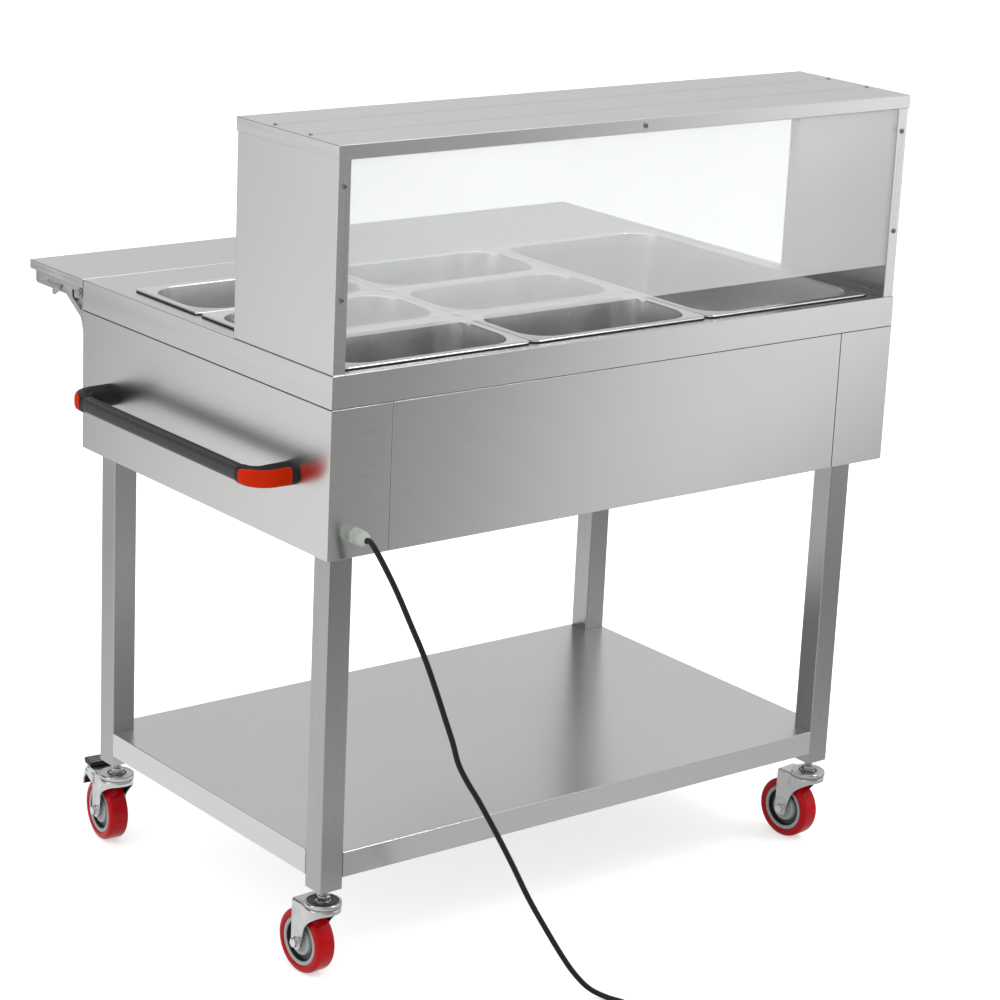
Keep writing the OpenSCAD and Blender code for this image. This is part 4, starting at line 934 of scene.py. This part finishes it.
def wrapped(outline, section_at):
    """Rings of a skin round the outline; section_at(y) gives its (inward, height) pairs there."""
    rings = []
    for i, (x, y) in enumerate(outline):
        a, b = outline[max(i - 1, 0)], outline[min(i + 1, len(outline) - 1)]
        along = Vector((b[0] - a[0], b[1] - a[1])).normalized()
        rings.append([(x - along.y * d, y + along.x * d, z) for d, z in section_at(y)])
    return rings


def make_fork(corner, place, brake):
    """Pressed fork with axle bosses and bolt; a braked one has ears, pins and a plate for the pedal."""
    shape = Shape(place)
    half = fork_outline()
    outline = [(-x, y) for x, y in reversed(half[1:])] + half
    fillet = 4
    shoulder = fork_top - fillet
    outer_bend = arc(fillet, 0, fillet, 180, 90, 4)[1:]
    inner_bend = arc(fillet, 0, fillet - fork_sheet, 180, 90, 4)[1:]

    def sheet_at(y):
        low = fork_low(y)
        wall = [low + (shoulder - low) * k / 5 for k in range(6)]
        bend = lifted(outer_bend + inner_bend[::-1], shoulder)
        return [(0, z) for z in wall] + bend + [(fork_sheet, z) for z in reversed(wall)]

    shape.loft(wrapped(outline, sheet_at))
    plate = [(x - math.copysign(min(fillet, abs(x)), x), max(y, y + (fillet if y < -20 else 0)))
             for x, y in outline]
    shape.prism([(x * 0.99, y) for x, y in plate], fork_top - fork_sheet, fork_top - 0.02)
    ring = [(19, -1), (25.2, -1), (25.2, 0.3), (24.4, 0.55), (20, 0.55), (19, 0.2)]
    shape.lathe(lifted(ring, fork_top), 72)
    for side in (-1, 1):
        out = aimed((side * fork_half, trail, axle_z), (side, 0, 0))
        shape.lathe([(4.2, -0.4), (9.2, -0.4), (9.2, 0.6), (8.4, 0.9), (4.2, 0.9)], 40, out)
    if brake:
        ear = [(36, 90), (44, 88.8), (52, 90.6), (67, 96.2)] + arc(pin_y, pin_z, 6, -75, 95, 8)
        ear += [(52, 111), (44, 112.9), (36, 112.9)]
        for x in (-fork_half, fork_half - fork_sheet):
            shape.side(ear, x, x + fork_sheet)
        for side in (-1, 1):
            for y, z in ((pin_y, pin_z), (45.2, 103.6)):
                out = aimed((side * fork_half, y, z), (side, 0, 0))
                shape.lathe([(0, -0.4), (2.9, -0.4), (2.9, 0.5), (2.2, 1.2), (1.1, 1.5), (0, 1.6)], 24,
                            out)
        across_pin = aimed((-fork_half, pin_y, pin_z), (1, 0, 0))
        shape.lathe([(0, 0), (2.4, 0), (2.4, 2 * fork_half), (0, 2 * fork_half)], 24, across_pin)
        shape.side(rectangle((44, 56), (110.6, 112.9)), -fork_half, fork_half)
    make_fork_shade(corner, place, outline)
    bolt(shape)
    shape.finish("fork_" + corner, "zinc", "caster_fork_" + corner, bevel=0.35, angle=38)


def make_fork_shade(corner, place, outline):
    """The fork's inner faces, which lie in the dark, painted black as shade."""
    shade_liner = Shape(place)
    top, proud = fork_top - 4.5, 0.2
    sheet = (fork_sheet, fork_sheet + proud)
    shade_liner.loft(wrapped(outline, lambda y: rectangle(
        sheet, (max(fork_low(y) + 0.7, axle_z + boss_r), top))))
    shade_liner.finish("fork_shade_liner_" + corner, "seam_black", body="caster_" + corner, slot="zinc", angle=60)


def bolt(shape):
    """Axle bolt: shank, washers, hexagon head with a chamfer on one side, lock nut on the other."""
    out = fork_half + 0.9
    shank = aimed((-out - 4, trail, axle_z), (1, 0, 0))
    shape.lathe([(0, 0), (4, 0), (4, 2 * out + 9), (3.2, 2 * out + 10), (0, 2 * out + 10)], 24, shank)
    for side, thick in ((-1, 5.2), (1, 5.0)):
        face = aimed((side * out, trail, axle_z), (side, 0, 0))
        shape.lathe([(4.1, 0), (8, 0), (8, 1.1), (7.6, 1.3), (4.1, 1.3)], 40, face)
        shape.loft([[face @ Vector(p) for p in level(hexagon(size, 12), z)] for z, size in
                    ((1.3, 14.4), (thick - 0.6, 14.4), (thick, 12.6))])


def make_stem(shape):
    """Fixed half of a caster: upper dish with rolled rim, hexagon nut, threaded stem and leg plug."""
    dish = [(0, 0), (25.6, 0), (26.6, 0.5), (27, 1.6), (27, 4.6), (26.5, 6.0), (25.2, 6.9),
            (23.6, 6.7), (22.6, 5.8), (21, 5.3), (18.6, 5.4), (17.6, 6.0), (16.4, 6.3), (15, 6.1),
            (14, 5.6), (0, 5.6)]
    shape.lathe(lifted(dish, race), 80)
    nut = race + 5.6
    washer = [(6.1, 0), (11.2, 0), (11.2, 1.3), (10.8, 1.6), (6.1, 1.6)]
    shape.lathe(lifted(washer, nut), 40)
    rings = [(1.6, 18.6), (2.1, 20.4), (9.3, 20.4), (10, 18.4)]
    shape.loft([level(hexagon(size, 8), nut + z) for z, size in rings])
    thread_r, root_r, pitch = 6, 5.4, 1.25
    plug_w, plug_low, plug_high = 34.6, 140.5, 158.5
    thread = [(0, nut + 9.5), (thread_r, nut + 9.5)]
    height = nut + 10
    while height < plug_low + 0.5:
        thread += [(thread_r, height), (root_r, height + 0.6)]
        height += pitch
    shape.lathe(thread + [(thread_r, height), (0, height)], 32)
    shape.prism(rounded_rectangle(plug_w, plug_w, 0, 1.5, 3), plug_low, plug_high)


def make_swivel_shade_and_reflection(shape, whole_floor):
    """Black in the groove under the upper dish, painted shade, and round its nut, a painted dark reflection; the
    whole-floor kind paints that reflection over the dish's floor too.
    """
    groove = [(25.5, -0.25), (26.6, -0.2), (27, 0.4), (27, 0.9), (25.5, 0.9)]
    floor = [(11.3, 5.2), (11.3, 5.75), (14, 5.75), (15, 6.25)]
    if whole_floor:
        floor += [(16.4, 6.45), (17.6, 6.15), (18.6, 5.55), (21, 5.45), (22.6, 5.95), (23.2, 6.55)]
    floor.append((floor[-1][0], 5.2))
    for profile in (groove, floor):
        shape.lathe(lifted(profile, race), 80)


def make_wheel(corner, place):
    """Red tread over a grey core: flange ring, recess darkened by a black ring as painted shade, hub with a
    bearing cover.
    """
    turn = place @ aimed((0, trail, axle_z), (1, 0, 0))
    tread = Shape(turn)
    side = arc(42, 9.6, 6, 0, 90, 8) + [(40.6, 15.9), (38, 15.6), (36.4, 15.0), (36.0, 13.5)]
    tread.lathe(mirrored(side), 96)
    tread.finish("tread_" + corner, "tread_red", "wheel_tread_" + corner, angle=60)
    core = Shape(turn)
    rim = [(36.0, 13.4), (35.8, 14.2), (35.2, 14.6), (31.4, 14.6), (30.6, 14.2), (30.2, 13.4),
           (29.6, 8.6), (28.9, 8.0), (22.2, 8.0), (21.5, 8.6), (20.8, 12.4), (20.2, 13.2),
           (19.4, 13.6), (15.6, 13.8), (15.2, 13.1), (14.6, 13.0), (14.2, 13.8), (9.6, 14.2),
           (9.2, 17.6), (4.1, 17.6)]
    core.lathe(mirrored(rim), 96)
    core.finish("core_" + corner, "core_grey", "wheel_core_" + corner, angle=40)
    # Painted shade: a black ring laid over the floor of the core's recess
    recess = Shape(turn)
    for s in (-1, 1):
        recess.lathe([(22, s * 7.9), (29.7, s * 7.9), (30.4, s * 13.2), (29.6, s * 13.2),
                      (28.9, s * 8.5), (22, s * 8.5)], 96)
    recess.finish("recess_shade_" + corner, "black_plastic", body="wheel_" + corner, slot="core_grey",
                  angle=40)


def make_pedal(corner, place):
    """Brake: black ribbed pad on a bright lever whose shoe hangs over the wheel."""
    lever = Shape(place)
    half, plate, wide = 17.7, 2.2, 21
    outline = [(y + pin_y, z + pin_z) for y, z in
               [(-4.9, 0.5), (-9.6, 13), (0, 17), (4.6, 3.4), (12.6, -5), (18.7, -17), (20.8, -26.4),
                (18.4, -29.6), (15.4, -27.8), (15.2, -19), (9.2, -9.2), (1, -4.9), (-3.8, -3.4)]]
    for x in (-half, half - plate):
        lever.side(outline, x, x + plate)
    lever.finish("brake_lever_" + corner, "zinc", "brake_pedal_" + corner, bevel=0.8, segments=3)
    pad, ribs = Shape(place), Shape(place)
    centre = Vector((pin_y + 6, pin_z - 4))
    core = [(centre.x + (y - centre.x) * 0.9, centre.y + (z - centre.y) * 0.95) for y, z in outline]
    pad.side(core, 2 - half, half - 2)
    base = [(51.8, 114.1), (51.5, 118.4), (52.6, 120), (69.4, 123.4), (72.8, 122.8), (74.7, 120.4),
            (71, 114.1)]
    pad.side(base, -wide, wide)
    slope, rib_pitch, rib_inset = 3.4 / 16.8, 4.8, 1.5
    for i in range(4):
        run = rib_pitch * i
        rib = [(54.5 + run + y, 120.6 + run * slope + z) for y, z in
               [(-1.1, -1.4), (-1.0, 0.5), (-0.5, 1.0), (0.5, 1.1), (1.1, 0.7), (1.3, -1.0)]]
        ribs.side(rib, rib_inset - wide, wide - rib_inset)
    rides = {"body": "pedal_" + corner, "slot": "pedal_black"}
    pad.finish("brake_pad_" + corner, "pedal_black", bevel=0.5, segments=3, **rides)
    ribs.finish("brake_ribs_" + corner, "rib_grey", bevel=0.3, **rides)


def make_casters():
    """Four swivel casters; the far two have brakes."""
    stems, painted_darks = Shape(), Shape()
    for corner in ("near_left", "near_right", "far_left", "far_right"):
        place = caster_place(corner)
        brake = corner.startswith("far")
        make_fork(corner, place, brake)
        make_wheel(corner, place)
        if brake:
            make_pedal(corner, place)
        stems.place = painted_darks.place = Matrix.Translation(place.translation)
        make_stem(stems)
        make_swivel_shade_and_reflection(painted_darks, corner == "near_left")
    stems.finish("stems_plated", "chrome_zinc", "caster_stems", bevel=0.15, angle=38)
    painted_darks.finish("swivel_painted_shade_and_reflection", "black_plastic", slot="zinc", angle=50)


make_casters()


# Stage: a white floor, a soft surround and three large lamps

floor_half = 40.0


def light_paths(tree):
    """One for what is seen straight or through the glass, and one for what is mirrored."""
    paths = add(tree, "LightPath").outputs
    directly = add(tree, "Math", {"operation": "MAXIMUM"},
                   {0: paths["Is Camera Ray"], 1: paths["Is Transmission Ray"]})
    return directly.outputs[0], paths["Is Glossy Ray"]


# Brightness by compass angle in degrees, 0 is +X and 90 is +Y: the walls, and the floor's two fans of
# cards, a painted reflection, each about a point of its own
walls = [(-180, 0.84), (-150, 0.76), (-110, 0.44), (-66, 0.34), (-56, 0.38), (-50.5, 0.56), (-47, 1.02),
         (-42, 1.02), (-20, 0.85), (10, 0.80), (30, 0.70), (75, 0.70), (100, 0.50), (118, 0.15),
         (150, 0.15), (166, 0.60), (180, 0.84)]
near_cards = [(-180, 0.8), (-120, 0.5), (-60, 0.27), (-47, 0.28), (-45, 0.32), (-43.4, 0.42),
              (-41.4, 0.90), (-39.4, 1.14), (-36.6, 1.12), (-35, 0.88), (-32.6, 0.34), (-26, 0.34),
              (-10, 0.7), (40, 0.8), (180, 0.8)]
near_centre = (-2.3, 1.0, 0)
left_cards = [(-180, 0.9), (60, 0.8), (116, 0.36), (119.6, 0.42), (121, 0.70), (123, 0.86), (126, 0.98),
              (132, 0.98), (150, 0.9), (180, 0.9)]
left_centre = (1.744, -3.567, 0)
sides = [(-180, 1.0), (-150, 1.0), (-120, 0.0), (30, 0.0), (60, 1.0), (180, 1.0)]


def fan(tree, vector, stops, centre=(0, 0, 0)):
    """Brightness by the compass angle about a point."""
    moved = add(tree, "Mapping", inputs={"Vector": vector, "Location": tuple(-c for c in centre)})
    around = add(tree, "TexGradient", {"gradient_type": "RADIAL"}, {"Vector": moved.outputs["Vector"]})
    return ramp(tree, around.outputs["Fac"], [(angle / 360 + 0.5, grey) for angle, grey in stops])


def make_floor():
    """White paper to the eye; to what mirrors it, a painted reflection of bright and dark cards, darker near the
    table as painted shade.
    """
    mesh = bmesh.new()
    bmesh.ops.create_grid(mesh, x_segments=8, y_segments=8, size=floor_half)
    data = mesh_data("floor", mesh)
    made = new_object("floor", data)
    paper, tree, shader = new_material("floor_paper")
    directly, glossy = light_paths(tree)
    put(tree, shader, Base_Color=(0.8, 0.8, 0.8, 1), Roughness=0.9, Specular_IOR_Level=0.0)
    lift = add(tree, "Emission", inputs={"Strength": 0.5})
    seen = add(tree, "AddShader", inputs={0: shader.outputs[0], 1: lift.outputs[0]})
    place = add(tree, "TexCoord").outputs["Object"]
    away = add(tree, "VectorMath", {"operation": "LENGTH"}, {0: place}).outputs["Value"]
    # Painted shade: the floor's reflection darkens towards the table and brightens far from it
    reach = spread(tree, away, 0.66, 1.22, 2.0, 5.0)
    near = add(tree, "Math", {"operation": "MULTIPLY"},
               {0: fan(tree, place, near_cards, near_centre), 1: reach})
    side = fan(tree, place, sides)
    cards = mixed(tree, side, near.outputs[0], fan(tree, place, left_cards, left_centre))
    # Painted shade: within one to two metres of the table the reflection turns a flat darker grey
    around = mixed(tree, side, (0.58, 0.58, 0.58), (0.92, 0.92, 0.92))
    close = spread(tree, away, 0.0, 1.0, 1.0, 2.0)
    floor_reflection_glow = add(tree, "Emission", inputs={"Color": mixed(tree, close, around, cards)})
    by_camera = blend(tree, directly, shader.outputs[0], seen.outputs[0])
    by_gloss = blend(tree, glossy, by_camera, floor_reflection_glow.outputs[0])
    tree.links.new(by_gloss, tree.nodes["Material Output"].inputs["Surface"])
    data.materials.append(paper)


def make_world():
    """Even light on the part, white behind it, and walls of several tones to what mirrors them."""
    world = bpy.data.worlds.new("studio")
    world.use_nodes = True
    bpy.context.scene.world = world
    tree = world.node_tree
    even = tree.nodes["Background"]
    put(tree, even, Color=(1, 1, 1, 1), Strength=1.05)
    directly, glossy = light_paths(tree)
    direction = add(tree, "TexCoord").outputs["Generated"]
    room = add(tree, "Background", inputs={"Color": fan(tree, direction, walls)})
    white = add(tree, "Background", inputs={"Color": (1, 1, 1, 1)})
    lit = blend(tree, glossy, even.outputs[0], room.outputs[0])
    seen = blend(tree, directly, lit, white.outputs[0])
    tree.links.new(seen, tree.nodes["World Output"].inputs["Surface"])


def make_lamp(name, place, target, size, power):
    """A rectangular lamp that faces a target."""
    data = bpy.data.lights.new(name, "AREA")
    data.shape = "RECTANGLE"
    data.size, data.size_y = size
    data.energy = power
    lamp = new_object(name, data)
    lamp.location = place
    lamp.rotation_euler = (Vector(target) - Vector(place)).to_track_quat("-Z", "Y").to_euler()


make_floor()
make_world()
make_lamp("top_box", (0.2, 0.3, 3.6), (0, 0, 0.8), (2.6, 2.0), 22)
make_lamp("left_box", (-3.6, 0.6, 2.2), (0, 0, 0.7), (1.6, 2.2), 16)
make_lamp("right_box", (1.7, -2.1, 3.5), (0, 0, 0.6), (0.8, 1.1), 24)

bpy.context.scene.view_settings.view_transform = "Standard"
